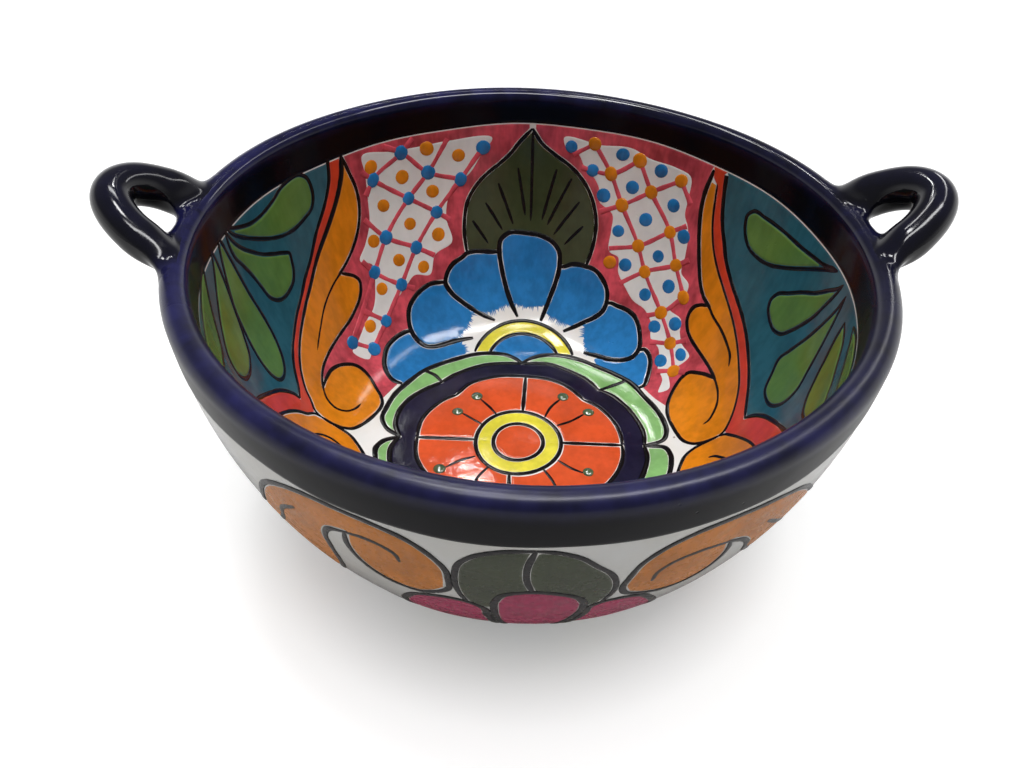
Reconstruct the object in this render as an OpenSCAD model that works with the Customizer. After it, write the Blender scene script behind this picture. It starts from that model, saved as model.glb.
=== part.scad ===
// Two-handled earthenware serving bowl: a round bowl on a turned foot ring,
// with two rolled-coil loop handles luted to its lip.
// Millimetres, +Z up. The origin is on the table under the middle of the bowl,
// and the two handles lie along X.

/* [Bowl] */
// Outside diameter across the lip
rim_d = 260; // [220:1:300]
// Height from the table to the crest of the lip
bowl_h = 134; // [120:1:150]
// Thickness of the wall, which ends in a half-round lip
wall_t = 9; // [6:0.5:12]
// Thickness of the floor above the recess in the foot
floor_t = 8; // [6:0.5:12]
// Radius of the long curve down the side
side_r = 200; // [180:1:240]
// Radius of the outer turn from the side into the underside
turn_r = 60; // [50:1:70]

/* [Foot] */
// Outside diameter of the foot ring where it rests
foot_d = 120; // [100:1:130]
// Width of the flat that rests on the table
foot_w = 7; // [5:0.5:10]
// Depth of the recess inside the foot ring
foot_h = 5; // [3:0.5:7]
// How far the ring's two sides lean out from the flat
foot_draft = 1.5; // [0:0.25:2.5]

/* [Handles] */
// Diameter of the rolled coil
coil_d = 14.5; // [12:0.5:17]
// Distance between the two arms of a loop at the lip, centre to centre
loop_span = 38; // [36:0.5:50]
// How far a loop reaches out from the middle of the lip, along its slope
loop_reach = 27; // [24:0.5:36]
// Slope of a loop above the horizontal
loop_tilt = 36; // [25:1:45]
// How far the arms draw together: 1 is half an ellipse, more is a narrower tip
loop_point = 1.35; // [1:0.05:1.6]
// How much each pressed-down root spreads on either side of the coil
root_flare = 3; // [0:0.5:4]
// How far along an arm the pressing of its root reaches
root_len = 13; // [8:0.5:16]

/* [Hidden] */
// Facets round the bowl, round a coil, along a loop and along each profile arc
round_facets = 160;
coil_facets = 24;
loop_steps = 36;
arc_steps = 14;

glaze_white = "#ece7dc";
glaze_cobalt = "#1b1d4e";

rim_r = rim_d / 2;
lip_r = wall_t / 2;
// Height of the middle of the lip, where the long side curve is widest
lip_z = bowl_h - lip_r;
lip_mid_r = rim_r - lip_r;
floor_z = foot_h + floor_t;
// The long curve of both wall faces turns about this point of the profile
side_x = rim_r - side_r;

// Points of an arc about c, from angle a0 to a1 in degrees, without its first point
function arc(c, r, a0, a1) =
    [for (i = [1:arc_steps]) let (a = a0 + (a1 - a0) * i / arc_steps) c + r * [cos(a), sin(a)]];

// Middle of a turn of radius r that rolls inside the side curve of radius s
// and comes level at height z
function turn_mid(s, r, z) =
    [side_x + sqrt((s - r) * (s - r) - (lip_z - z - r) * (lip_z - z - r)), z + r];

// Angle at which that turn leaves the side curve
function turn_angle(mid) = atan2(mid.y - lip_z, mid.x - side_x);

outer_turn = turn_mid(side_r, turn_r, foot_h);
outer_leave = turn_angle(outer_turn);
inner_side_r = side_r - wall_t;
inner_turn_r = turn_r - wall_t;
inner_turn = turn_mid(inner_side_r, inner_turn_r, floor_z);
inner_leave = turn_angle(inner_turn);

// The outer face from the level underside up to the lip's outer edge
function outer_face() = concat(
    [[0, foot_h], [outer_turn.x, foot_h]],
    arc(outer_turn, turn_r, -90, outer_leave),
    arc([side_x, lip_z], side_r, outer_leave, 0));

// The round of the lip, from its outer edge as far as angle a1
function lip(a1) = arc([lip_mid_r, lip_z], lip_r, 0, a1);

// The inner face from the lip's inner edge down to the level floor
function inner_face() = concat(
    arc([side_x, lip_z], inner_side_r, 0, inner_leave),
    arc(inner_turn, inner_turn_r, inner_leave, -90),
    [[0, floor_z]]);

module revolve(points) {
    rotate_extrude($fn = round_facets)
        polygon(points);
}

// The bowl's outline filled up to the crest of its lip, which the handles are cut to fit
module filled_outline() {
    revolve(concat(outer_face(), lip(90), [[0, bowl_h]]));
}

// A ring with leaning sides, let into the underside as far as the floor
module foot_ring() {
    foot_r = foot_d / 2;
    revolve([
        [foot_r - foot_w, 0],
        [foot_r, 0],
        [foot_r + foot_draft, foot_h + floor_t / 2],
        [foot_r - foot_w - foot_draft, foot_h + floor_t / 2]]);
}

module bowl() {
    color(glaze_white) union() {
        revolve(concat(outer_face(), lip(180), inner_face()));
        foot_ring();
    }
}

// The loop lies in a plane that slopes up and out from the middle of the lip
coil_r = coil_d / 2;
out = [cos(loop_tilt), 0, sin(loop_tilt)];
across = [0, 1, 0];
normal = [-sin(loop_tilt), 0, cos(loop_tilt)];
root = [lip_mid_r, 0, lip_z];

// How far the centre line has come out from the lip, with a running from 0 to 180 degrees
function coil_reach(a) = loop_reach * pow(sin(a), loop_point);

// Centre line of the coil: half an ellipse whose arms lean in to a narrower tip
function coil_point(a) = root + out * coil_reach(a) + across * loop_span / 2 * cos(a);

// Direction across the coil in the loop's plane, square to its centre line
function coil_side(a) =
    let (v = out * pow(sin(a), 2 - loop_point) * loop_span / 2 + across * cos(a) * loop_point * loop_reach)
    v / norm(v);

// 1 at the roots, where the coil is pressed on, falling to 0 along each arm
function pressed(a) =
    let (s = min(1, coil_reach(a) / root_len)) 1 - s * s * (3 - 2 * s);

// One ring of the coil: spread sideways at its roots, and pressed down to the lip's thickness
function coil_ring(a) =
    let (half_w = coil_r + root_flare * pressed(a), half_h = coil_r + (lip_r - coil_r) * pressed(a))
    [for (k = [0:coil_facets - 1]) let (b = 360 * k / coil_facets)
        coil_point(a) + coil_side(a) * half_w * cos(b) + normal * half_h * sin(b)];

module coil() {
    rings = [for (i = [0:loop_steps]) each coil_ring(180 * i / loop_steps)];
    last = loop_steps * coil_facets;
    walls = [for (i = [0:loop_steps - 1], k = [0:coil_facets - 1])
        let (p = i * coil_facets, q = p + coil_facets, n = (k + 1) % coil_facets)
        each [[p + k, q + k, p + n], [p + n, q + k, q + n]]];
    ends = [[for (k = [0:coil_facets - 1]) k], [for (k = [coil_facets - 1:-1:0]) last + k]];
    polyhedron(rings, concat(walls, ends));
}

// A coil seated against the outer face of the lip and wall
module loop_handle() {
    color(glaze_cobalt) difference() {
        coil();
        filled_outline();
    }
}

module right_handle() {
    loop_handle();
}

module left_handle() {
    mirror([1, 0, 0]) loop_handle();
}

bowl();
left_handle();
right_handle();
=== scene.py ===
import bpy
import numpy as np
from bpy.props import FloatProperty, FloatVectorProperty, PointerProperty
from mathutils import Matrix, Vector
from mathutils.geometry import delaunay_2d_cdt


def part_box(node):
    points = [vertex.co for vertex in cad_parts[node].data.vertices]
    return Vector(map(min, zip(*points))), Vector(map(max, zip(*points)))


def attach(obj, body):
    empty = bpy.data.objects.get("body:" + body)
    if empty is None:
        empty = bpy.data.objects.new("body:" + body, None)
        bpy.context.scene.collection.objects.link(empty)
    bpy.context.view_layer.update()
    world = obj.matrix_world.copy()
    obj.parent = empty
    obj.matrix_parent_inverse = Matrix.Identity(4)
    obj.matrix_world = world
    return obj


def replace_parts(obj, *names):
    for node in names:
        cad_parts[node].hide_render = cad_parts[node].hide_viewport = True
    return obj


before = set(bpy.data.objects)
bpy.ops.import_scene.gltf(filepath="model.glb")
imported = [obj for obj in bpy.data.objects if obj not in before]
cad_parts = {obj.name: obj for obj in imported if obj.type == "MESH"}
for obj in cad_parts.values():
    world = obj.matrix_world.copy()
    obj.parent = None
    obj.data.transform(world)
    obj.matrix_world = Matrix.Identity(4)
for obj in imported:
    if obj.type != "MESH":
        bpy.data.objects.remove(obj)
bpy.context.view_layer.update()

bl_info = {
    "name": "Painted two-handled bowl",
    "version": (1, 0, 0),
    "blender": (4, 5, 0),
    "location": "View3D > Sidebar > Bowl",
    "description": "Glazes and paints an earthenware bowl on its packed frame, and sets up its stage",
    "category": "Add Mesh",
}

MM = 0.001
BOWL_LOW, BOWL_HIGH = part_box("bowl")

# The painted fields of the inside, in degrees round the bowl
BACK_AXIS = 86.0
LEFT_PANEL = 178.7
RIGHT_PANEL = -7.4
FRONT_SQUEEZE = 0.934
OUTSIDE_AXES = (266.5, 86.5)
# Where the floor flower's level line lies, in millimetres behind the middle of the floor
FLOOR_LEVEL = 1.3


def length(name, description, value):
    """A length property, in metres."""
    return FloatProperty(name=name, description=description, default=value, min=0.0, unit="LENGTH",
                         precision=5)


def tint(name, description, red, green, blue):
    """A colour property, written as it should look on a screen."""
    return FloatVectorProperty(name=name, description=description, subtype="COLOR_GAMMA", size=3,
                               min=0.0, max=1.0, default=(red / 255, green / 255, blue / 255))


def degrees(name, description, value):
    """An angle property, in degrees."""
    return FloatProperty(name=name, description=description, default=value)


def power(name, description, value):
    """A lamp's power, in watts."""
    return FloatProperty(name=name, description=description, default=value, min=0.0, unit="POWER")


class BowlSizes(bpy.types.PropertyGroup):
    """The thrown bowl and its handles."""
    rim_d: length("Rim diameter", "Outside diameter across the lip", BOWL_HIGH[1] - BOWL_LOW[1])
    bowl_h: length("Height", "Table to the crest of the lip", BOWL_HIGH[2] - BOWL_LOW[2])
    wall_t: length("Wall", "Thickness of the wall and its half-round lip", 0.009)
    floor_t: length("Floor", "Thickness of the floor", 0.008)
    side_r: length("Side radius", "Radius of the long curve down the side", 0.200)
    turn_r: length("Turn radius", "Radius of the turn into the underside", 0.060)
    foot_d: length("Foot diameter", "Outside diameter of the foot ring", 0.120)
    foot_w: length("Foot width", "Width of the flat that rests on the table", 0.007)
    foot_h: length("Foot height", "Depth of the recess in the foot", 0.005)
    coil_d: length("Coil", "Diameter of a handle's rolled coil", 0.0145)
    loop_span: length("Loop span", "Distance between a handle's two arms", 0.038)
    loop_reach: length("Loop reach", "How far a handle reaches from the lip", 0.027)
    loop_tilt: degrees("Loop tilt", "Slope of a handle above the horizontal", 36.0)
    loop_point: FloatProperty(name="Loop point", default=1.35,
                              description="How far a handle's arms draw together; 1 is half an ellipse")
    root_len: length("Root", "How far along an arm the pressing of its root reaches", 0.013)
    left_draw: length("Left draw", "How much shorter the left loop was drawn by hand", 0.0010)
    left_thin: length("Left thinning", "How much thinner the left coil was rolled by hand", 0.0010)
    back_swell: length("Back swelling", "How much fuller the back arm of each coil was rolled", 0.0010)
    back_shift: length("Back shift", "How much farther back the back arm of each coil was bent", 0.0015)
    fillet: length("Fillet", "Softness of the join between coil and lip", 0.016)


class PaintSizes(bpy.types.PropertyGroup):
    """The brush and the coats of glaze."""
    line: length("Line", "Width of a main brush line", 0.0026)
    fine_line: length("Fine line", "Width of a fine brush line", 0.0020)
    hair_line: length("Hair line", "Width of the finest brush line", 0.0015)
    halo: length("Halo", "White left bare beside a line", 0.0002)
    coat: length("Coat", "Thickness of a painted coat", 0.00016)
    band_in: length("Band inside", "Depth of the cobalt band below the lip, inside", 0.012)
    band_out: length("Band outside", "Depth of the cobalt band below the lip, outside", 0.0125)
    lattice: length("Lattice", "Width of a lattice line", 0.0027)
    dot: length("Dot", "Radius of a lattice dot", 0.0037)
    bead: length("Bead", "Radius of a flower bead", 0.0028)


class GlazeColours(bpy.types.PropertyGroup):
    """The glazes, as they look on a screen."""
    white: tint("White", "Tin-white ground glaze", 238, 238, 235)
    clay: tint("Clay", "Bare fired clay under the foot", 186, 120, 84)
    # Thin cobalt is also painted light on the crest and the coil's upper side; deep cobalt is also painted
    # shade on the coil's sides and underside.
    cobalt: tint("Cobalt", "Band and handles, where the glaze is thin", 27, 27, 68)
    cobalt_deep: tint("Deep cobalt", "Band and handles, where the glaze pools", 11, 11, 16)
    black: tint("Black", "Brush lines", 18, 15, 17)
    orange: tint("Orange", "Scrolls", 222, 132, 26)
    flame: tint("Flame", "Large flower on the floor", 214, 85, 43)
    red: tint("Red", "Stripes beside the scrolls", 212, 66, 42)
    rose: tint("Rose", "Wash round the lattice", 188, 72, 84)
    teal: tint("Teal", "Ground of the side panels", 46, 98, 112)
    green: tint("Green", "Petals on the side panels", 94, 134, 62)
    olive: tint("Olive", "Dark leaf", 62, 70, 45)
    bead: tint("Bead green", "Beads on the floor flower", 70, 95, 60)
    blue: tint("Blue", "Flower petals", 38, 120, 184)
    yellow: tint("Yellow", "Flower rings", 228, 218, 66)
    spring: tint("Spring green", "Scalloped border", 132, 184, 112)
    navy: tint("Navy", "Inner scalloped border", 25, 22, 45)
    pink: tint("Pink", "Flower on the outside", 186, 36, 92)


class StageSettings(bpy.types.PropertyGroup):
    """Camera, lamps and the light of the room."""
    distance: length("Distance", "Camera to the middle of the rim", 0.2795)
    elevation: degrees("Elevation", "Camera's height above the rim, seen from its middle", 30.87)
    turn: degrees("Turn", "Camera's place round the bowl, from the front", -5.47)
    pan: degrees("Pan", "Camera's aim to the side of the rim's middle", -1.21)
    pitch: degrees("Pitch", "Camera's aim below the horizontal", 43.24)
    roll: degrees("Roll", "Camera's lean", 2.46)
    lens: FloatProperty(name="Lens", description="Focal length in millimetres", default=26.02)
    key_power: power("Key lamp", "Power of the broad lamp over the bowl, which makes no highlights", 13.6)
    top_power: power("Top lamp", "Power of the small lamp overhead", 4.0)
    tube_power: power("Tube lamp", "Power of the thin lamp on the right, which only makes highlights", 2.1)
    strip_power: power("Strip lamp", "Power of the narrow lamp overhead, which only makes highlights", 9.5)
    window_power: power("Window lamp", "Power of the dim wide lamp behind", 2.0)
    back_power: power("Back lamp", "Power of the small lamp behind", 0.6)
    glint_power: power("Glint lamp", "Power of the faint lamp low behind", 0.03)
    horizon: FloatProperty(name="Horizon", description="Strength of the backdrop's light", default=1.0)
    zenith: FloatProperty(name="Zenith", description="Strength of the light overhead", default=0.2)
    glow: FloatProperty(name="Glow", description="How much the pale floor is lifted", default=0.62)


# Geometry of the bowl


def arc(centre, radius, start, end, count=160):
    """Points of an arc in the bowl's section, between two angles in degrees."""
    a = np.radians(np.linspace(start, end, count))
    return np.column_stack([centre[0] + radius * np.cos(a), centre[1] + radius * np.sin(a)])


class Section:
    """The bowl's half section in millimetres, read by the distance s along it.

    It runs from the middle of the floor up the inside, over the lip and down the outside.
    """

    def __init__(self, bowl):
        rim_r = bowl.rim_d / 2 / MM
        self.lip_r = bowl.wall_t / 2 / MM
        self.lip_z = bowl.bowl_h / MM - self.lip_r
        self.lip_mid = rim_r - self.lip_r
        self.foot_h = bowl.foot_h / MM
        self.side = (rim_r - bowl.side_r / MM, self.lip_z)
        self.side_r = bowl.side_r / MM
        floor_z = (bowl.foot_h + bowl.floor_t) / MM
        turn_r = bowl.turn_r / MM
        inner_r = turn_r - 2 * self.lip_r
        outer, outer_leave = self.rolled(self.side_r, turn_r, self.foot_h)
        inner, inner_leave = self.rolled(self.side_r - 2 * self.lip_r, inner_r, floor_z)
        flat = np.linspace(0, inner[0], 60)
        floor = np.column_stack([flat, np.full_like(flat, floor_z)])
        inside = [floor, arc(inner, inner_r, -90, inner_leave),
                  arc(self.side, self.side_r - 2 * self.lip_r, inner_leave, 0)]
        lip = [arc((self.lip_mid, self.lip_z), self.lip_r, 180, 0)]
        outside = [arc(self.side, self.side_r, 0, outer_leave), arc(outer, turn_r, outer_leave, -90)]
        curve = np.vstack([part[1:] if i else part for i, part in enumerate(inside + lip + outside)])
        step = np.hypot(*np.diff(curve, axis=0).T)
        self.curve = curve
        self.s = np.concatenate([[0.0], np.cumsum(step)])
        run = np.gradient(curve, self.s, axis=0)
        run /= np.hypot(*run.T)[:, None]
        self.out = np.column_stack([-run[:, 1], run[:, 0]])
        count = sum(len(part) - 1 for part in inside)
        self.lip_in = self.s[count]
        self.lip_out = self.s[count + len(lip[0]) - 1]

    def rolled(self, side_r, turn_r, level):
        """Middle of a turn that rolls inside a side curve and comes level, and the angle it leaves at."""
        rise = self.lip_z - level - turn_r
        x = self.side[0] + np.sqrt((side_r - turn_r) ** 2 - rise ** 2)
        middle = (x, level + turn_r)
        return middle, np.degrees(np.arctan2(middle[1] - self.lip_z, x - self.side[0]))

    def radius(self, s):
        """Distance from the axis at s."""
        return np.interp(s, self.s, self.curve[:, 0])

    def normal(self, turn, s):
        """Unit normals out of the clay."""
        across = np.interp(s, self.s, self.out[:, 0])
        a = np.radians(turn)
        return np.column_stack([across * np.cos(a), across * np.sin(a),
                                np.interp(s, self.s, self.out[:, 1])])

    def place(self, turn, s, lift):
        """Points in metres at a lift in millimetres over the clay."""
        r = self.radius(s) + lift * np.interp(s, self.s, self.out[:, 0])
        z = np.interp(s, self.s, self.curve[:, 1]) + lift * np.interp(s, self.s, self.out[:, 1])
        a = np.radians(turn)
        return MM * np.column_stack([r * np.cos(a), r * np.sin(a), z])


class WallField:
    """A painter's field on the wall: degrees across, millimetres along the section."""

    def __init__(self, section, turn, base=0.0):
        self.section, self.turn, self.base = section, turn, base

    def chart(self, points):
        """A flat chart that is true to size about the middle of some points."""
        middle = self.base + np.mean([p[1] for p in points])
        return WallChart(self, np.radians(self.section.radius(middle)))


class WallChart:
    """Millimetres across and along a stretch of wall, as seen from outside the clay."""

    def __init__(self, field, scale):
        self.field, self.scale = field, scale

    def flat(self, points):
        points = np.array(points, float)
        return np.column_stack([-self.field.turn(points[:, 0]) * self.scale,
                                self.field.base + points[:, 1]])

    def place(self, flat, lift):
        return self.field.section.place(-flat[:, 0] / self.scale, flat[:, 1], lift)

    def normal(self, flat):
        return self.field.section.normal(-flat[:, 0] / self.scale, flat[:, 1])


class FloorField:
    """A painter's field on the floor: millimetres to the right and towards the back.

    With a flip of -1 it is mirrored, front for back, across the flower's level line.
    """

    def __init__(self, section, flip=1.0):
        self.section, self.flip = section, flip

    def chart(self, points):
        return self

    def flat(self, points):
        x, y = np.array(points, float).T
        return np.column_stack([x, FLOOR_LEVEL + self.flip * (y - FLOOR_LEVEL)])

    def polar(self, flat):
        return BACK_AXIS - np.degrees(np.arctan2(flat[:, 0], flat[:, 1])), np.hypot(*flat.T)

    def place(self, flat, lift):
        return self.section.place(*self.polar(flat), lift)

    def normal(self, flat):
        return self.section.normal(*self.polar(flat))


def eased(share):
    """A share held between 0 and 1, with a soft start and end."""
    share = np.clip(share, 0.0, 1.0)
    return share * share * (3.0 - 2.0 * share)


def waves(angle, *parts):
    """Slow waves round a circle; each part has its height, its number of waves and its start."""
    return sum(height * np.sin(number * angle + start) for height, number, start in parts)


# How far the lip dries out of true, as shares of its radius and as metres of its height
SWELLS = (0.0020, 2, 0.9), (0.0012, 3, -0.4)
SAGS = (0.0004, 2, 2.1), (0.00025, 5, 0.0)


def hand_made(points):
    """Points of a true bowl moved as hand-thrown clay dries: a little out of round and uneven."""
    x, y, z = points.T
    turn = np.arctan2(y, x)
    rise = np.clip(z / bpy.context.scene.bowl_sizes.bowl_h, 0.0, 1.0) ** 2
    swell = 1.0 + rise * waves(turn, *SWELLS)
    return np.column_stack([x * swell, y * swell, z + rise * waves(turn, *SAGS)])


# Outlines, in millimetres

# The steps along a plain outline, a ragged one and a brush line, and how close two points are one
OUTLINE_STEP = 0.8
RAGGED_STEP = 0.5
STROKE_STEP = 0.9
SAME_POINT = 0.15
# The least share of a gap that a drawn-in outline and a coat's inner rings have to keep
GAP_KEPT = 0.93
RING_KEPT = 0.9
# A coat's rounded rim, the spacing of its points and of their rows, as in equal-sided triangles
RIM = 0.6
SPACING = 2.4
ROW = SPACING * 0.87
# How high a coat's edge stands, how deep its back lies in the clay, and how far in its edge is pale
EDGE_LIFT = 0.03
SUNK = 0.25
PALE_EDGE = 3.0
# How high the middle of a brush line lies over the clay, and over a coat
LINE_LIFT = 0.08
OVER_LIFT = 0.14
# How many widths it takes to set a brush down or lift it
BRUSH_DOWN = 3.0


class Run:
    """A stretch of an outline: its points, the gap kept inside it, and how ragged a dry brush leaves it."""

    def __init__(self, points, gap=None, ragged=0.0):
        self.points, self.gap, self.ragged = points, gap, ragged


def flowing(points, closed, step):
    """A smooth line through a painter's few points, with points about a step apart."""
    if closed:
        points = np.vstack([points, points[:1]])
    chord = np.maximum(np.hypot(*np.diff(points, axis=0).T), 1e-6)
    t = np.concatenate([[0.0], np.cumsum(chord)])
    slope = np.gradient(points, t, axis=0)
    if closed:
        first, last = (points[1] - points[0]) / chord[0], (points[-1] - points[-2]) / chord[-1]
        slope[0] = slope[-1] = (first * chord[-1] + last * chord[0]) / (chord[0] + chord[-1])
    u = np.linspace(0.0, t[-1], max(int(t[-1] / step), 2) + 1)
    i = np.clip(np.searchsorted(t, u, side="right") - 1, 0, len(chord) - 1)
    h = chord[i][:, None]
    w = ((u - t[i]) / chord[i])[:, None]
    line = ((1 + 2 * w) * (1 - w) ** 2 * points[i] + w * (1 - w) ** 2 * h * slope[i]
            + w * w * (3 - 2 * w) * points[i + 1] + w * w * (w - 1) * h * slope[i + 1])
    return line[:-1] if closed else line


def beside(line, closed):
    """Unit normals to the left of a line."""
    if closed:
        run = np.roll(line, -1, axis=0) - np.roll(line, 1, axis=0)
    else:
        run = np.gradient(line, axis=0)
    run /= np.maximum(np.hypot(*run.T), 1e-9)[:, None]
    return np.column_stack([-run[:, 1], run[:, 0]])


def area(outline):
    """Signed area of a closed outline."""
    x, y = outline.T
    return 0.5 * np.sum(x * np.roll(y, -1) - y * np.roll(x, -1))


def closed_outline(chart, runs, gap, seed):
    """A closed outline from its runs, turning left, with the gap to keep at each point."""
    lines, gaps, ragged = [], [], []
    for run in runs:
        if not isinstance(run, Run):
            run = Run(run)
        line = flowing(chart.flat(run.points), closed=len(runs) == 1 and not run.ragged,
                       step=RAGGED_STEP if run.ragged else OUTLINE_STEP)
        if len(runs) > 1 and lines:
            line = line[np.hypot(*(line - lines[-1][-1]).T) > SAME_POINT]
        lines.append(line)
        gaps.append(np.full(len(line), gap if run.gap is None else run.gap))
        ragged.append(np.full(len(line), run.ragged))
    line, gaps, ragged = np.vstack(lines), np.concatenate(gaps), np.concatenate(ragged)
    if np.hypot(*(line[0] - line[-1])) < SAME_POINT:
        line, gaps, ragged = line[:-1], gaps[:-1], ragged[:-1]
    if area(line) < 0:
        line, gaps, ragged = line[::-1], gaps[::-1], ragged[::-1]
    if ragged.any():
        draws = np.random.default_rng(seed).random(len(line))
        reach = ragged * np.where(np.arange(len(line)) % 2, draws, 0.25 * draws)
        line = line - beside(line, True) * reach[:, None]
    return line, gaps


def drawn_in(outline, gaps):
    """A closed outline drawn in by its gaps, without the stretches that would cross."""
    moved = outline + beside(outline, True) * gaps[:, None]
    walls = gaps > 0
    if not walls.any():
        return moved
    apart = np.sqrt(((moved[:, None] - outline[None, walls]) ** 2).sum(-1))
    need = np.where(gaps[:, None] > 0, np.minimum(gaps[:, None], gaps[None, walls]), gaps[None, walls])
    return moved[(apart > GAP_KEPT * need).all(axis=1)]


def within(points, outline):
    """Which points lie inside a closed outline."""
    x, y = points[:, :1], points[:, 1:]
    x0, y0 = outline.T
    x1, y1 = np.roll(outline, -1, axis=0).T
    rise = np.where(y1 == y0, 1e-12, y1 - y0)
    crossing = ((y0 > y) != (y1 > y)) & (x < (x1 - x0) * (y - y0) / rise + x0)
    return crossing.sum(axis=1) % 2 == 1


def nearest(points, outline):
    """Distance from each point to the closest point of an outline."""
    return np.sqrt(((points[:, None] - outline[None]) ** 2).sum(-1).min(axis=1))


def inner_points(points, outline, margin):
    """The points that lie inside an outline by a margin."""
    points = points[within(points, outline)]
    return points[nearest(points, outline) > margin]


def triangles(outline):
    """Points, triangles and depth from the edge of a filled outline."""
    low, high = outline.min(axis=0), outline.max(axis=0)
    columns = np.arange(low[0], high[0], SPACING)
    rows = np.arange(low[1], high[1], ROW)
    grid = np.array([(x + SPACING / 2 * (j % 2), y) for j, y in enumerate(rows) for x in columns])
    points = [outline]
    for deep in (RIM, 2 * RIM):
        ring = drawn_in(outline, np.full(len(outline), deep))
        points.append(inner_points(ring, outline, RING_KEPT * deep))
    points.append(inner_points(grid.reshape(-1, 2), outline, 3 * RIM))
    edges = [(i, (i + 1) % len(outline)) for i in range(len(outline))]
    only_inside, merged = 1, 1e-5
    filled = delaunay_2d_cdt([Vector(p) for p in np.vstack(points)], edges, [], only_inside, merged)
    points = np.array([v[:] for v in filled[0]])
    faces = [tuple(f) for f in filled[2]]
    return points, faces, nearest(points, outline)


class Coat:
    """Closed thin patches of one glaze, gathered into one mesh."""

    def __init__(self):
        self.coat = bpy.context.scene.paint_sizes.coat / MM
        self.points, self.faces, self.edge, self.creases, self.count = [], [], [], [], 0

    def lay(self, field, *runs, gap=0.0, thick=1.0, base=0.0, seed=1):
        """Lays a patch inside an outline made of runs that meet at corners.

        Thick is a share of the usual coat, and base lifts the whole patch, in millimetres.
        """
        everything = [p for run in runs for p in (run.points if isinstance(run, Run) else run)]
        chart = field.chart(everything)
        outline = drawn_in(*closed_outline(chart, runs, gap, seed))
        flat, faces, depth = triangles(outline)
        lift = base + EDGE_LIFT + (thick * self.coat - EDGE_LIFT) * eased(depth / RIM)
        top, bottom = chart.place(flat, lift), chart.place(flat, -SUNK)
        n, first = len(flat), self.count
        sides = {(f[k], f[(k + 1) % len(f)]) for f in faces for k in range(len(f))}
        rim = [(a, b) for a, b in sides if (b, a) not in sides]
        self.points += [top, bottom]
        self.faces += [tuple(first + i for i in f) for f in faces]
        self.faces += [tuple(first + n + i for i in reversed(f)) for f in faces]
        self.faces += [(first + b, first + a, first + n + a, first + n + b) for a, b in rim]
        self.creases += [(first + a, first + b) for a, b in rim]
        self.edge += [np.clip(depth / PALE_EDGE, 0.0, 1.0), np.zeros(n)]
        self.count += 2 * n


class Lines:
    """Brush lines gathered as paths with the clay's normal and half the brush's width at each point."""

    def __init__(self):
        self.points, self.normals, self.widths, self.edges, self.count = [], [], [], [], 0

    def draw(self, field, points, width, closed=False, lift=LINE_LIFT, taper=(0.55, 0.55)):
        """Draws one line, its width the same all along or given for its two ends.

        The taper is the share of the width left where the brush is set down and lifted.
        """
        chart = field.chart(points)
        flat = flowing(chart.flat(points), closed, STROKE_STEP)
        n = len(flat)
        start, end = width if isinstance(width, tuple) else (width, width)
        half = np.linspace(start, end, n) / 2
        if not closed:
            run = np.linspace(0.0, 1.0, n) * n * STROKE_STEP
            for share, along in ((taper[0], run), (taper[1], run[-1] - run)):
                near = np.clip(along / (BRUSH_DOWN * max(start, end)), 0.0, 1.0)
                half *= share + (1.0 - share) * near * (2.0 - near)
        self.points.append(chart.place(flat, lift))
        self.normals.append(chart.normal(flat))
        self.widths.append(half * MM)
        self.edges += [(self.count + i, self.count + i + 1) for i in range(n - 1)]
        if closed:
            self.edges.append((self.count + n - 1, self.count))
        self.count += n


class Dots:
    """Raised dots gathered as points with the clay's normal and a radius."""

    def __init__(self):
        self.points, self.normals, self.radii = [], [], []

    def drop(self, field, points, radius, lift):
        """Drops a dot on each point, all of one radius."""
        chart = field.chart(points)
        flat = chart.flat(points)
        self.points.append(chart.place(flat, lift))
        self.normals.append(chart.normal(flat))
        self.radii.append(np.full(len(flat), radius * MM))


# Meshes and node trees


def put(name, mesh):
    """Adds a finished mesh to the scene as a piece of the bowl."""
    piece = bpy.data.objects.new(name, mesh)
    bpy.context.scene.collection.objects.link(piece)
    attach(piece, "root")
    return piece


def mesh_of(name, points, faces, *materials):
    """A smooth mesh from points in metres, given the bowl's hand-made unevenness."""
    mesh = bpy.data.meshes.new(name)
    mesh.from_pydata(hand_made(points).tolist(), [], faces)
    for material in materials:
        mesh.materials.append(material)
    mesh.shade_smooth()
    return mesh


def mark(mesh, name, values):
    """Keeps a value for each point of a mesh, for its material to read."""
    mesh.attributes.new(name, "FLOAT", "POINT").data.foreach_set("value", values)


def paint(name, coat, material):
    """Makes a coat a piece."""
    mesh = mesh_of(name, np.vstack(coat.points), coat.faces, material)
    mark(mesh, "edge", np.concatenate(coat.edge))
    creases = {tuple(sorted(pair)) for pair in coat.creases}
    sharp = [tuple(sorted(edge.vertices)) in creases for edge in mesh.edges]
    mesh.attributes.new("sharp_edge", "BOOLEAN", "EDGE").data.foreach_set("value", sharp)
    return put(name, mesh)


def made_once(maker):
    """The node group of a maker's name, which is made when it is first asked for."""
    return bpy.data.node_groups.get(maker.__name__) or maker()


def tree_of(name, inputs):
    """A new geometry node tree with a mesh in, a mesh out and named inputs."""
    tree = bpy.data.node_groups.new(name, "GeometryNodeTree")
    tree.interface.new_socket("Mesh", in_out="INPUT", socket_type="NodeSocketGeometry")
    for label, kind in inputs:
        tree.interface.new_socket(label, in_out="INPUT", socket_type="NodeSocket" + kind)
    tree.interface.new_socket("Mesh", in_out="OUTPUT", socket_type="NodeSocketGeometry")
    return tree


def feed(tree, socket, value):
    """Links a node's output to an input socket, or sets the socket to a plain value."""
    if isinstance(value, bpy.types.NodeSocket):
        tree.links.new(value, socket)
    else:
        socket.default_value = value


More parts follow.
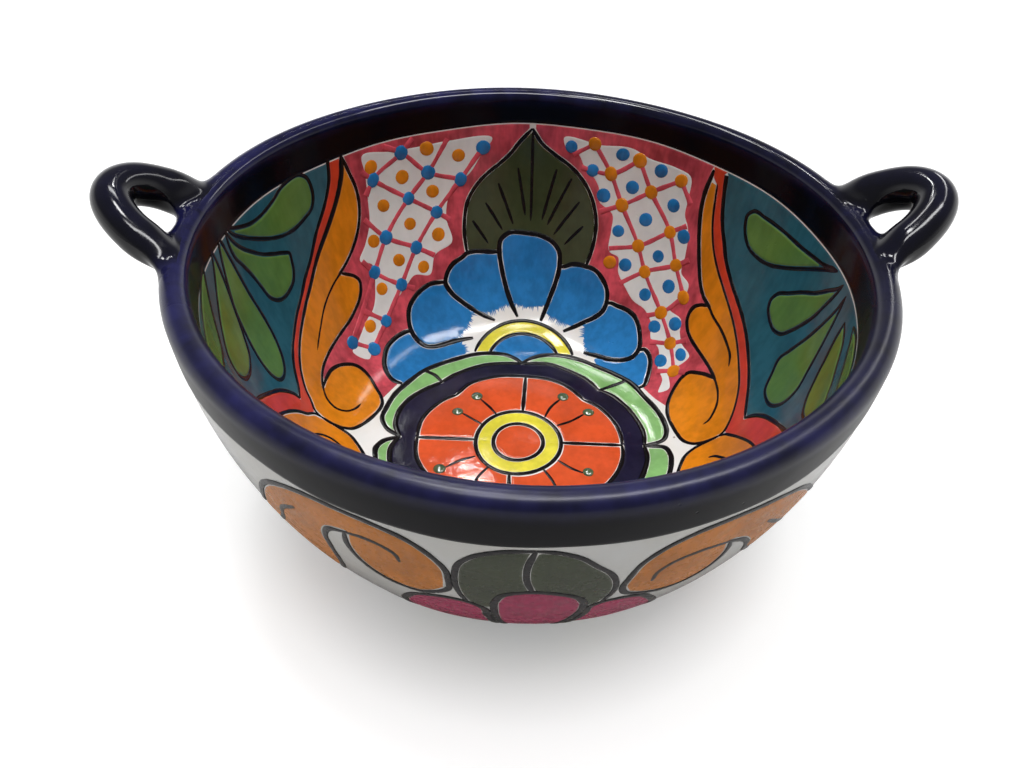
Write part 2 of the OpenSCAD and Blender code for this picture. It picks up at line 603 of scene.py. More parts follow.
def add(tree, kind, inputs=None, **settings):
    """Adds a node, sets it up and feeds its inputs."""
    node = tree.nodes.new(kind)
    for key, value in settings.items():
        setattr(node, key, value)
    for key, value in (inputs or {}).items():
        feed(tree, node.inputs[key], value)
    return node


def attribute(tree, name, kind):
    """The output of a named attribute."""
    node = add(tree, "GeometryNodeInputNamedAttribute", {"Name": name}, data_type=kind)
    return node.outputs["Attribute"]


def maths(tree, operation, a, b):
    """The output of a Math node; a and b are outputs or numbers."""
    return add(tree, "ShaderNodeMath", {0: a, 1: b}, operation=operation).outputs[0]


def finish_tree(tree, geometry, material):
    """Ends a tree in Realize Instances and Set Material."""
    smooth = add(tree, "GeometryNodeSetShadeSmooth", {"Geometry": geometry})
    real = add(tree, "GeometryNodeRealizeInstances", {"Geometry": smooth.outputs[0]})
    painted = add(tree, "GeometryNodeSetMaterial", {"Geometry": real.outputs[0], "Material": material})
    add(tree, "NodeGroupOutput", {0: painted.outputs[0]})


def brush_tree():
    """Sweeps a low crowned section along brush lines, with the uneven width of a hand-held brush."""
    tree = tree_of("brush_tree", [("Crown", "Float"), ("Unevenness", "Float"), ("Grain", "Float"),
                                  ("Material", "Material")])
    given = tree.nodes.new("NodeGroupInput").outputs
    curve = add(tree, "GeometryNodeMeshToCurve", {"Mesh": given["Mesh"]})
    laid = add(tree, "GeometryNodeSetCurveNormal",
               {"Curve": curve.outputs[0], "Normal": attribute(tree, "out", "FLOAT_VECTOR")}, mode="FREE")
    noise = add(tree, "ShaderNodeTexNoise", {"Scale": given["Grain"], "Detail": 1.0})
    sway = maths(tree, "MULTIPLY", maths(tree, "SUBTRACT", noise.outputs[0], 0.5), given["Unevenness"])
    width = maths(tree, "MULTIPLY", attribute(tree, "half_width", "FLOAT"), maths(tree, "ADD", sway, 1.0))
    circle = add(tree, "GeometryNodeCurvePrimitiveCircle", {"Resolution": 8, "Radius": 1.0})
    crown = add(tree, "ShaderNodeCombineXYZ", {"X": given["Crown"], "Y": 1.0, "Z": 1.0})
    section = add(tree, "GeometryNodeTransform",
                  {"Geometry": circle.outputs[0], "Scale": crown.outputs[0]})
    swept = add(tree, "GeometryNodeCurveToMesh",
                {"Curve": laid.outputs[0], "Profile Curve": section.outputs[0], "Scale": width,
                 "Fill Caps": True})
    finish_tree(tree, swept.outputs[0], given["Material"])
    return tree


def dot_tree():
    """Sets a low dome of glaze on each point, turned to the clay and a little uneven."""
    tree = tree_of("dot_tree", [("Height", "Float"), ("Spread", "Float"), ("Seed", "Int"),
                                ("Material", "Material")])
    given = tree.nodes.new("NodeGroupInput").outputs
    points = add(tree, "GeometryNodeMeshToPoints", {"Mesh": given["Mesh"]})
    dome = add(tree, "GeometryNodeMeshUVSphere", {"Segments": 16, "Rings": 8, "Radius": 1.0})
    turned = add(tree, "FunctionNodeAlignRotationToVector",
                 {"Vector": attribute(tree, "out", "FLOAT_VECTOR")}, axis="Z")
    radius = attribute(tree, "half_width", "FLOAT")
    least, most = maths(tree, "SUBTRACT", 1.0, given["Spread"]), maths(tree, "ADD", 1.0, given["Spread"])
    across = []
    for number in (0, 1):
        draw = add(tree, "FunctionNodeRandomValue",
                   {"Min": least, "Max": most, "Seed": maths(tree, "ADD", given["Seed"], float(number))},
                   data_type="FLOAT")
        across.append(maths(tree, "MULTIPLY", radius, draw.outputs["Value"]))
    size = add(tree, "ShaderNodeCombineXYZ",
               {"X": across[0], "Y": across[1], "Z": maths(tree, "MULTIPLY", radius, given["Height"])})
    set_on = add(tree, "GeometryNodeInstanceOnPoints",
                 {"Points": points.outputs[0], "Instance": dome.outputs["Mesh"],
                  "Rotation": turned.outputs[0], "Scale": size.outputs[0]})
    finish_tree(tree, set_on.outputs[0], given["Material"])
    return tree


def grow(name, maker, points, normals, widths, edges, **inputs):
    """Runs a node tree on gathered points and keeps the result as a plain piece."""
    mesh = bpy.data.meshes.new(name + "_path")
    mesh.from_pydata(hand_made(points).tolist(), edges, [])
    mesh.attributes.new("out", "FLOAT_VECTOR", "POINT").data.foreach_set("vector", normals.ravel())
    mark(mesh, "half_width", widths)
    path = bpy.data.objects.new(name + "_path", mesh)
    bpy.context.scene.collection.objects.link(path)
    tree = made_once(maker)
    modifier = path.modifiers.new("grow", "NODES")
    modifier.node_group = tree
    for item in tree.interface.items_tree:
        if item.in_out == "INPUT" and item.name.lower() in inputs:
            modifier[item.identifier] = inputs[item.name.lower()]
    bpy.context.view_layer.update()
    grown = path.evaluated_get(bpy.context.evaluated_depsgraph_get())
    result = bpy.data.meshes.new_from_object(grown)
    result.name = name
    path.modifiers.remove(modifier)
    bpy.data.objects.remove(path)
    bpy.data.meshes.remove(mesh)
    return put(name, result)


def ink(name, lines, material):
    """Makes gathered brush lines a piece; their crown is a share of half their width."""
    return grow(name, brush_tree, np.vstack(lines.points), np.vstack(lines.normals),
                np.concatenate(lines.widths), lines.edges,
                crown=0.18, unevenness=0.5, grain=160.0, material=material)


def dab(name, dots, material, height, seed):
    """Makes gathered dots a piece; their height and the spread of their sizes are shares of a radius."""
    return grow(name, dot_tree, np.vstack(dots.points), np.vstack(dots.normals),
                np.concatenate(dots.radii), [],
                height=height, spread=0.1, seed=seed, material=material)


# Materials


def linear(colour):
    """A screen colour as a shader colour."""
    c = np.array(colour[:3], float)
    c = np.where(c <= 0.04045, c / 12.92, ((c + 0.055) / 1.055) ** 2.4)
    return (*c.tolist(), 1.0)


def shade(colour, factor):
    """A shader colour made deeper or lighter."""
    return (*[min(1.0, c * factor) for c in colour[:3]], 1.0)


def shader_group(name, inputs, outputs):
    """A new shader node group with float inputs, a Vector input and float outputs."""
    tree = bpy.data.node_groups.new(name, "ShaderNodeTree")
    tree.interface.new_socket("Vector", in_out="INPUT", socket_type="NodeSocketVector")
    for label in inputs:
        tree.interface.new_socket(label, in_out="INPUT", socket_type="NodeSocketFloat")
    for label in outputs:
        tree.interface.new_socket(label, in_out="OUTPUT", socket_type="NodeSocketFloat")
    return tree, tree.nodes.new("NodeGroupInput").outputs


def noise(tree, vector, scale, detail=3.0, rough=0.55):
    """A noise texture's value."""
    node = add(tree, "ShaderNodeTexNoise",
               {"Vector": vector, "Scale": scale, "Detail": detail, "Roughness": rough})
    return node.outputs[0]


def ranged(tree, value, low, high, to_low=0.0, to_high=1.0):
    """A value mapped from one range to another, and clamped."""
    node = add(tree, "ShaderNodeMapRange", {"Value": value, "From Min": low, "From Max": high,
                                            "To Min": to_low, "To Max": to_high})
    return node.outputs[0]


def brush_wash():
    """How thick a hand-brushed coat lies: clouds of colour, broken by the streaks of the brush."""
    tree, given = shader_group("brush_wash", ["Cloud Scale", "Streak Scale", "Streak"], ["Wash"])
    cloud = ranged(tree, noise(tree, given["Vector"], given["Cloud Scale"]), 0.32, 0.68)
    stretched = add(tree, "ShaderNodeMapping", {"Vector": given["Vector"], "Scale": (1.0, 1.0, 0.22)})
    streak = ranged(tree, noise(tree, stretched.outputs[0], given["Streak Scale"], 2.0), 0.3, 0.7)
    part = maths(tree, "MULTIPLY", maths(tree, "SUBTRACT", streak, 0.5), given["Streak"])
    add(tree, "NodeGroupOutput", {"Wash": maths(tree, "ADD", cloud, part)})
    return tree


def fired_surface():
    """The skin of a fired glaze: slow ripples, a fine orange peel and scattered pinholes."""
    tree, given = shader_group("fired_surface", ["Ripple", "Peel", "Pinholes"], ["Height", "Dulling"])
    slow = maths(tree, "MULTIPLY", noise(tree, given["Vector"], 55.0, 2.0), given["Ripple"])
    fine = maths(tree, "MULTIPLY", noise(tree, given["Vector"], 900.0, 2.0), given["Peel"])
    cells = add(tree, "ShaderNodeTexVoronoi", {"Vector": given["Vector"], "Scale": 190.0})
    pits = ranged(tree, cells.outputs["Distance"], 0.04, 0.11, -1.0, 0.0)
    rare = ranged(tree, noise(tree, given["Vector"], 70.0, 1.0), 0.55, 0.62)
    holes = maths(tree, "MULTIPLY", maths(tree, "MULTIPLY", pits, rare), given["Pinholes"])
    height = maths(tree, "ADD", maths(tree, "ADD", slow, fine), holes)
    add(tree, "NodeGroupOutput", {"Height": height, "Dulling": noise(tree, given["Vector"], 240.0, 4.0)})
    return tree


def group(tree, maker, vector, **values):
    """Places a shader group in a material."""
    inputs = {key.replace("_", " ").title(): value for key, value in values.items()}
    return add(tree, "ShaderNodeGroup", {"Vector": vector, **inputs}, node_tree=made_once(maker))


def mixed(tree, factor, a, b):
    """The output of a colour mix; a and b are outputs or colours."""
    return add(tree, "ShaderNodeMix", {0: factor, 6: a, 7: b}, data_type="RGBA").outputs[2]


def kept(tree, name):
    """A value kept on the points of the mesh."""
    return add(tree, "ShaderNodeAttribute", attribute_name=name).outputs["Fac"]


def new_material(name):
    """A material with its Principled shader and Object coordinates."""
    material = bpy.data.materials.new(name)
    material.use_nodes = True
    tree = material.node_tree
    return material, tree, tree.nodes["Principled BSDF"], add(tree, "ShaderNodeTexCoord").outputs["Object"]


def skin(tree, shader, where, gloss, ripple=0.55, peel=0.08, pinholes=0.4, ior=1.42):
    """Gives a shader the bump and the gloss of a fired glaze; gloss is its least and most roughness."""
    fired = group(tree, fired_surface, where, ripple=ripple, peel=peel, pinholes=pinholes)
    bump = add(tree, "ShaderNodeBump",
               {"Height": fired.outputs["Height"], "Strength": 0.35, "Distance": 0.0012})
    tree.links.new(bump.outputs[0], shader.inputs["Normal"])
    tree.links.new(ranged(tree, fired.outputs["Dulling"], 0.3, 0.7, *gloss), shader.inputs["Roughness"])
    shader.inputs["IOR"].default_value = ior


# The white ground that shows through the thin edge of a coat, and its share of the colour there
GROUND = (0.8, 0.78, 0.72, 1.0)
GROUND_SHARE = 0.4


def glaze(name, colour, deep=0.84, light=1.12, streak=0.5, thin=0.12, cloud=60.0, streaks=300.0,
          gloss=(0.06, 0.13), ior=1.42):
    """A brushed coloured glaze: deeper where it pools, lighter where it is thin and along its edges.

    A glaze of this name that is already there is used again. Without thin, the edges aren't lighter.
    """
    made = bpy.data.materials.get(name)
    if made:
        return made
    material, tree, shader, where = new_material(name)
    colour = linear(colour)
    wash = group(tree, brush_wash, where, cloud_scale=cloud, streak_scale=streaks, streak=streak)
    base = mixed(tree, wash.outputs["Wash"], shade(colour, deep), shade(colour, light))
    if thin is not None:
        pale = tuple((1 - GROUND_SHARE) * c + GROUND_SHARE * g
                     for c, g in zip(shade(colour, light), GROUND))
        base = mixed(tree, ranged(tree, kept(tree, "edge"), 0.0, 0.25, thin, 0.0), base, pale)
    tree.links.new(base, shader.inputs["Base Color"])
    skin(tree, shader, where, gloss, ior=ior)
    return material


def plain_glaze(name, colour, deep=0.75, light=1.2, gloss=(0.07, 0.15), ior=1.3):
    """A glaze that lies evenly to its edges, as on lines and dots."""
    return glaze(name, colour, deep, light, thin=None, cloud=95.0, streaks=380.0, gloss=gloss, ior=ior)


def cobalt_glaze(colours):
    """The cobalt of band and handles, mixed by a mask of pooling and painted light: blue over the crest and
    the coil's upper side, near black where it pools.
    """
    made = bpy.data.materials.get("cobalt_pooled_and_shaded")
    if made:
        return made
    material, tree, shader, where = new_material("cobalt_pooled_and_shaded")
    blue = linear(colours.cobalt)
    wash = group(tree, brush_wash, where, cloud_scale=90.0, streak_scale=220.0, streak=0.3)
    thin = mixed(tree, wash.outputs["Wash"], shade(blue, 0.45), shade(blue, 1.35))
    # The mask is near black where the glaze pools, and holds painted light: the blue is lighter where the
    # crest and the coil face up.
    base = mixed(tree, kept(tree, "pool_and_shade"), thin, linear(colours.cobalt_deep))
    tree.links.new(base, shader.inputs["Base Color"])
    skin(tree, shader, where, (0.1, 0.15), ripple=0.4, peel=0.012, pinholes=0.2, ior=1.4)
    fresh = shader.inputs["Roughness"].links[0].from_socket
    worn = ranged(tree, kept(tree, "worn"), 0.0, 1.0, 0.0, 0.3)
    tree.links.new(maths(tree, "MAXIMUM", fresh, worn), shader.inputs["Roughness"])
    sheen = ranged(tree, kept(tree, "sheen"), 0.0, 1.0, 0.12, 0.5)
    tree.links.new(sheen, shader.inputs["Specular IOR Level"])
    return material


def white_glaze(colour):
    """The tin-white ground: creamy clouds, faint grey drift and a few iron specks."""
    material, tree, shader, where = new_material("tin_white_glaze")
    colour = linear(colour)
    wash = group(tree, brush_wash, where, cloud_scale=38.0, streak_scale=160.0, streak=0.3)
    cream = (colour[0] * 0.95, colour[1] * 0.93, colour[2] * 0.89, 1.0)
    base = mixed(tree, wash.outputs["Wash"], cream, colour)
    specks = add(tree, "ShaderNodeTexVoronoi", {"Vector": where, "Scale": 85.0})
    spot = ranged(tree, specks.outputs["Distance"], 0.03, 0.07, 0.75, 0.0)
    rare = ranged(tree, noise(tree, where, 23.0, 1.0), 0.6, 0.68)
    iron = (0.16, 0.09, 0.05, 1.0)
    base = mixed(tree, maths(tree, "MULTIPLY", spot, rare), base, iron)
    tree.links.new(base, shader.inputs["Base Color"])
    skin(tree, shader, where, (0.06, 0.14), pinholes=0.8)
    return material


def bare_clay(colour):
    """Unglazed fired clay, where the foot was wiped to stand in the kiln."""
    material, tree, shader, where = new_material("bare_clay")
    colour = linear(colour)
    grain = ranged(tree, noise(tree, where, 520.0, 5.0, 0.7), 0.3, 0.7)
    base = mixed(tree, grain, shade(colour, 0.75), shade(colour, 1.15))
    tree.links.new(base, shader.inputs["Base Color"])
    bump = add(tree, "ShaderNodeBump", {"Height": grain, "Strength": 0.5, "Distance": 0.0003})
    tree.links.new(bump.outputs[0], shader.inputs["Normal"])
    shader.inputs["Roughness"].default_value = 0.85
    return material


# Pieces


def at_hand(context):
    """What every painter needs: the bowl's section, the sizes of the paint and the colours."""
    scene = context.scene
    return Section(scene.bowl_sizes), scene.paint_sizes, scene.glaze_colours


def fields(section):
    """The painter's fields on the inside wall: back and front, and the two side panels."""
    def panel(axis, sense):
        return lambda u: axis + sense * np.where(u > 0, u, u * FRONT_SQUEEZE)
    front_mid = LEFT_PANEL + FRONT_SQUEEZE * (LEFT_PANEL - BACK_AXIS)
    return {
        "back": WallField(section, lambda u: BACK_AXIS - u),
        "front": WallField(section, lambda u: front_mid + FRONT_SQUEEZE * u),
        "left": WallField(section, panel(LEFT_PANEL, -1.0)),
        "right": WallField(section, panel(RIGHT_PANEL, 1.0)),
    }


# The band in millimetres: how its edges waver inside and outside, and the white left bare below it
BAND_IN = (0.8, 2, 2.4), (0.6, 3, 1.0), (0.3, 11, 0.0)
BAND_OUT = (0.7, 3, 0.3), (0.4, 7, 2.0), (0.2, 17, 0.0)
BAND_CLEAR = 0.6
# Its rounded edge, how high that edge stands, how deep its back lies, and its share of a usual coat
BAND_ROUND = 1.2
BAND_LIFT = 0.02
BAND_SUNK = 0.3
BAND_COAT = 1.1


def band_edge(turn, wavering):
    """How the painter's hand let an edge of the band rise and fall, in millimetres, round the bowl."""
    return waves(np.radians(turn), *wavering)


def under_band(field, start, end):
    """A run just below the cobalt band, from one place across a field to another."""
    u = np.linspace(start, end, 25)
    sizes = bpy.context.scene.paint_sizes
    s = field.section.lip_in - sizes.band_in / MM - BAND_CLEAR - band_edge(field.turn(u), BAND_IN)
    return Run(list(zip(u, s)), gap=0.0)


def mirrored(points):
    """Points mirrored across a panel's axis."""
    return [(-u, s) for u, s in points]


# How a circle drawn by hand wavers, in shares of its radius
CIRCLE = (0.014, 2, 0.6), (0.012, 3, 2.0)


def ring_points(centre, radius, start=0.0, end=360.0, count=24):
    """Points round a circle on the floor, in degrees from the right."""
    a = np.radians(np.linspace(start, end, count, endpoint=end - start < 360.0))
    radius = radius * (1.0 + waves(a, *CIRCLE))
    return list(zip(centre[0] + radius * np.cos(a), centre[1] + radius * np.sin(a)))


# The body's mesh: rings down its section, points round a ring, and the foot's soft edge in millimetres
BODY_RINGS = 230
BODY_TURNS = 288
FOOT_EDGE = 0.8


class BodyBuilder(bpy.types.Operator):
    """Throws the bowl: its floor, wall, half-round lip and foot ring"""
    bl_idname = "bowl.body"
    bl_label = "Bowl body"

    def execute(self, context):
        sizes, colours = context.scene.bowl_sizes, context.scene.glaze_colours
        section = Section(sizes)
        foot_r, foot_w = sizes.foot_d / 2 / MM, sizes.foot_w / MM
        curve, edge, turns = section.curve, FOOT_EDGE, BODY_TURNS
        # The outside stops where it meets the foot ring, which goes on down, across and up to the recess
        wall = curve[(curve[:, 0] > foot_r + 1.0) | (section.s < section.lip_out)]
        stations = np.linspace(0, len(wall) - 1, BODY_RINGS).astype(int)
        foot_in = foot_r - foot_w
        foot = np.array([
            (foot_r + 0.7, section.foot_h * 0.45), (foot_r + 0.1, edge), (foot_r - edge, 0.0),
            (foot_r - foot_w / 2, 0.0), (foot_in + edge, 0.0), (foot_in - 0.1, edge),
            (foot_in - 1.0, section.foot_h - edge), (foot_in - 2.2, section.foot_h),
            (foot_r / 2, section.foot_h)])
        profile = np.vstack([wall[stations][1:], foot])
        a = np.linspace(0, 2 * np.pi, turns, endpoint=False)
        rings = [np.column_stack([r * np.cos(a), r * np.sin(a), np.full(turns, z)]) for r, z in profile]
        centres = [[(0.0, 0.0, curve[0, 1])], [(0.0, 0.0, section.foot_h)]]
        points = MM * np.vstack(rings + centres)
        floor_mid, under_mid = len(rings) * turns, len(rings) * turns + 1
        pairs = [(k, (k + 1) % turns) for k in range(turns)]
        faces = [(floor_mid, k, n) for k, n in pairs]
        clay = [False] * turns
        for j in range(len(rings) - 1):
            up, down = j * turns, (j + 1) * turns
            faces += [(up + k, down + k, down + n, up + n) for k, n in pairs]
            clay += [max(profile[j, 1], profile[j + 1, 1]) < edge + 0.1] * turns
        last = (len(rings) - 1) * turns
        faces += [(under_mid, last + n, last + k) for k, n in pairs]
        clay += [False] * turns
        mesh = mesh_of("bowl_body", points, faces, white_glaze(colours.white), bare_clay(colours.clay))
        mesh.polygons.foreach_set("material_index", np.array(clay, int))
        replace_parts(put("bowl_body", mesh), "bowl")
        return {"FINISHED"}


# The cobalt is darker on one side: the middle of that side in degrees, and how dark it is there
DARK_SIDE = 12
DARK_SIDE_DEPTH = 0.65


def glaze_lie(section, turn, away):
    """How deep the cobalt pools and how much it shines, some millimetres from the lip's crest; the blue
    crest is thin glaze and also painted light on its upward face.
    """
    half_lip = (section.lip_out - section.lip_in) / 2
    # How much darker the cobalt is towards the dark side
    thick = DARK_SIDE_DEPTH * eased((np.cos(np.radians(turn - DARK_SIDE)) - 0.1) / 0.7)
    # Blue over the crest, partly thin glaze and partly painted light on the lip's upper face; near black
    # below it.
    pool_and_shade = np.maximum(eased((away - 0.1 * half_lip) / (1.5 * half_lip)), thick)
    return pool_and_shade, 1.0 - eased((away - 0.3 * half_lip) / half_lip)


class BandBuilder(bpy.types.Operator):
    """Lays the cobalt band over the lip"""
    bl_idname = "bowl.band"
    bl_label = "Cobalt band"

    def execute(self, context):
        section, sizes, colours = at_hand(context)
        turns, rows = 360, 44
        turn = np.linspace(0, 360, turns, endpoint=False)
        low = section.lip_in - sizes.band_in / MM - band_edge(turn, BAND_IN)
        high = section.lip_out + sizes.band_out / MM + band_edge(turn, BAND_OUT)
        crest = (section.lip_in + section.lip_out) / 2
        # The front of the lip is worn duller
        front = eased((0.1 - np.sin(np.radians(turn))) / 0.6)
        top, bottom, pools_and_shade, sheens = [], [], [], []
        for share in np.linspace(0, 1, rows):
            s = low + (high - low) * share
            pool_and_shade, sheen = glaze_lie(section, turn, np.abs(s - crest))
            pools_and_shade.append(pool_and_shade)
            sheens.append(sheen)
            depth = np.clip(np.minimum(s - low, high - s) / BAND_ROUND, 0, 1)
            lift = BAND_LIFT + sizes.coat / MM * BAND_COAT * depth * (2 - depth)
            top.append(section.place(turn, s, lift))
            bottom.append(section.place(turn, s, -BAND_SUNK))
        points = np.vstack(top + bottom)
        size = rows * turns
        faces = []
        for k in range(turns):
            n = (k + 1) % turns
            for j in range(rows - 1):
                a, b = j * turns, (j + 1) * turns
                faces.append((a + k, b + k, b + n, a + n))
                faces.append((size + a + n, size + b + n, size + b + k, size + a + k))
            end = (rows - 1) * turns
            faces.append((k, n, size + n, size + k))
            faces.append((end + n, end + k, size + end + k, size + end + n))
        mesh = mesh_of("cobalt_band", points, faces, cobalt_glaze(colours))
        mark(mesh, "pool_and_shade", np.concatenate(pools_and_shade + pools_and_shade))
        mark(mesh, "sheen", np.concatenate(sheens + sheens))
        mark(mesh, "worn", np.tile(front, 2 * rows))
        put("cobalt_band", mesh)
        return {"FINISHED"}


def surface_net(value, low, step):
    """Points and faces of the surface where a value given on a grid changes sign."""
    inside = value < 0
    shape = np.array(value.shape) - 1
    corners = [(i, j, k) for i in (0, 1) for j in (0, 1) for k in (0, 1)]

    def at(array, c):
        return array[c[0]:c[0] + shape[0], c[1]:c[1] + shape[1], c[2]:c[2] + shape[2]]
    total, crossed = np.zeros((*shape, 3)), np.zeros(shape)
    for c in corners:
        for axis in range(3):
            if c[axis]:
                continue
            d = tuple(v + (n == axis) for n, v in enumerate(c))
            f, g = at(value, c), at(value, d)
            cut = (f < 0) != (g < 0)
            share = np.where(cut, f / np.where(cut, f - g, 1.0), 0.0)
            spot = np.array(c, float) + share[..., None] * (np.array(d) - np.array(c))
            total += np.where(cut[..., None], spot, 0.0)
            crossed += cut
    cells = np.argwhere(crossed > 0)
    number = np.full(shape, -1)
    number[tuple(cells.T)] = np.arange(len(cells))
    points = low + step * (cells + (total / np.maximum(crossed, 1)[..., None])[tuple(cells.T)])
    faces = []
    for axis in range(3):
        u, v = (axis + 1) % 3, (axis + 2) % 3
        one, two = [slice(None)] * 3, [slice(None)] * 3
        one[axis], two[axis] = slice(0, -1), slice(1, None)
        cut = inside[tuple(one)] != inside[tuple(two)]
        for spot in np.argwhere(cut):
            ring = []
            for du, dv in ((-1, -1), (0, -1), (0, 0), (-1, 0)):
                cell = spot.copy()
                cell[u] += du
                cell[v] += dv
                ring.append(number[tuple(cell)])
            faces.append(tuple(ring) if inside[tuple(spot)] else tuple(reversed(ring)))
    return points, faces


# A joined handle in millimetres: how much thicker than the lip its roots are, how high its skin lies
# over the wall, how far that skin sinks out of sight, and the steps of the grid it is found on
ROOT_OVER = 0.6
SKIN = 0.28
SINK = 0.6
GRID = 0.8
# The share of the fillet that is left below a loop
LOW_FILLET = 0.25


class HandleBuilder(bpy.types.Operator):
    """Joins the two rolled loop handles to the lip"""
    bl_idname = "bowl.handles"
    bl_label = "Loop handles"

    def execute(self, context):
        sizes, colours = context.scene.bowl_sizes, context.scene.glaze_colours
        section = Section(sizes)
        for name, sense, draw, thin in (("right_handle", 1, 0.0, 0.0),
                                        ("left_handle", -1, sizes.left_draw, sizes.left_thin)):
            points, faces, gap = self.joined(sizes, section, sizes.loop_reach - draw, sizes.coil_d - thin)
            if sense < 0:
                faces = [tuple(reversed(f)) for f in faces]
            mesh = mesh_of(name + "_glazed", MM * points * (sense, 1, 1), faces, cobalt_glaze(colours))
            facing = np.empty(3 * len(points))
            mesh.vertex_normals.foreach_get("vector", facing)
            upward = facing[2::3]
            x, y, z = points.T
            rise = z - section.lip_z
            round_lip = np.abs(np.pi / 2 - np.arctan2(rise, np.hypot(x, y) - section.lip_mid))
            away = np.where(rise > 0, section.lip_r * round_lip, section.lip_r * np.pi / 2 - rise)
            lies = glaze_lie(section, np.degrees(np.arctan2(y, sense * x)), away)
            # On the coil the blue is painted light by its slope, paler where it faces up, and its shine
            # fades underneath; near the wall both follow the band
            on_lip = eased((gap - 1.0) / 5.0)
            slope_light_and_shine = (1.0 - 0.22 * np.clip(upward, 0, 1) ** 2, eased(upward + 0.6))
            for label, here, there in zip(("pool_and_shade", "sheen"), slope_light_and_shine, lies):
                mark(mesh, label, here + (there - here) * on_lip)
            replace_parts(put(name + "_glazed", mesh), name)
        return {"FINISHED"}

    def joined(self, sizes, section, loop_reach, coil_d):
        """A loop on the right, run into the lip: its points in millimetres, faces and gaps to the coil."""
        tilt = np.radians(sizes.loop_tilt)
        a = np.linspace(0, np.pi, 401)
        reach = loop_reach / MM * np.clip(np.sin(a), 0, 1) ** sizes.loop_point
        half_span = sizes.loop_span / 2 / MM
        path = np.column_stack([section.lip_mid + reach * np.cos(tilt), half_span * np.cos(a),
                                section.lip_z + reach * np.sin(tilt)])
        # 1 along the back arm, and 0 along the front one
        in_back = eased((np.cos(a) + 0.2) / 0.8)
        path[:, 1] += sizes.back_shift / MM * in_back
        coil, root = (coil_d / 2 + sizes.back_swell * in_back) / MM, section.lip_r + ROOT_OVER
        radius = root + (coil - root) * eased(reach / (sizes.root_len / MM))
        soft = sizes.fillet / MM

        def to_coil(points, stride=1):
            """Distance to the coil, in millimetres, taken at every so many spots along it."""
            gap = np.full(len(points), np.inf)
            for spot, thick in zip(path[::stride], radius[::stride]):
                gap = np.minimum(gap, np.sqrt(((points - spot) ** 2).sum(axis=1)) - thick)
            return gap

        def value(points, stride=1):
            """Distance to the joined coil and wall, in millimetres."""
            r, z = np.hypot(points[:, 0], points[:, 1]), points[:, 2]
            middle = section.side_r - section.lip_r
            arm = np.hypot(r - section.side[0], z - section.lip_z)
            below = z < section.lip_z
            wall = np.where(below, np.abs(arm - middle), np.hypot(r - section.lip_mid, z - section.lip_z))
            inward = np.where(below, middle - arm, section.lip_mid - r)
            loop = to_coil(points, stride)
            # The skin on the wall sinks into it away from the coil and inside the lip
            hidden = np.maximum(eased((loop - 0.5 * soft) / (0.4 * soft)), eased((inward - 1.0) / 3.0))
            wall -= section.lip_r + SKIN - SINK * hidden
            # The fillet is full above the plane of the loop and between its arms
            above = (z - section.lip_z) * np.cos(tilt) - (points[:, 0] - section.lip_mid) * np.sin(tilt)
            in_loop = eased((half_span - np.abs(points[:, 1])) / 6.0 + 0.5)
            share = np.maximum(eased((above + 4.0) / 6.0), in_loop * eased((above + 12.0) / 6.0))
            fillet = soft * (LOW_FILLET + (1.0 - LOW_FILLET) * share)
            blend = np.maximum(fillet * (1.0 - eased((inward + 7.0) / 11.0)), 0.01)
            near = np.clip(1.0 - np.abs(wall - loop) / blend, 0, None)
            both = np.minimum(wall, loop) - near ** 3 * blend / 6
            both = np.maximum(both, inward - section.lip_r + 0.3)
            return np.maximum(both, loop - 0.9 * soft)

        # A box that holds the loop and the wall about its roots
        low = np.array([path[:, 0].min() - 24, path[:, 1].min() - 26, section.lip_z - 30])
        high = np.array([path[:, 0].max() + 11, path[:, 1].max() + 26, path[:, 2].max() + 12])
        axes = [np.arange(p, q, GRID) for p, q in zip(low, high)]
        grid = np.stack(np.meshgrid(*axes, indexing="ij"), axis=-1)
        points, faces = surface_net(value(grid.reshape(-1, 3), 4).reshape(grid.shape[:3]), low, GRID)
        # A few careful steps bring the points onto the surface
        for _ in range(3):
            here, nudge = value(points), 0.02
            slope = np.column_stack([value(points + nudge * np.eye(3)[n]) - here for n in range(3)]) / nudge
            steep = np.maximum((slope ** 2).sum(axis=1), 0.2)
            points -= np.clip(here / steep, -0.5, 0.5)[:, None] * slope
        return points, faces, to_coil(points)


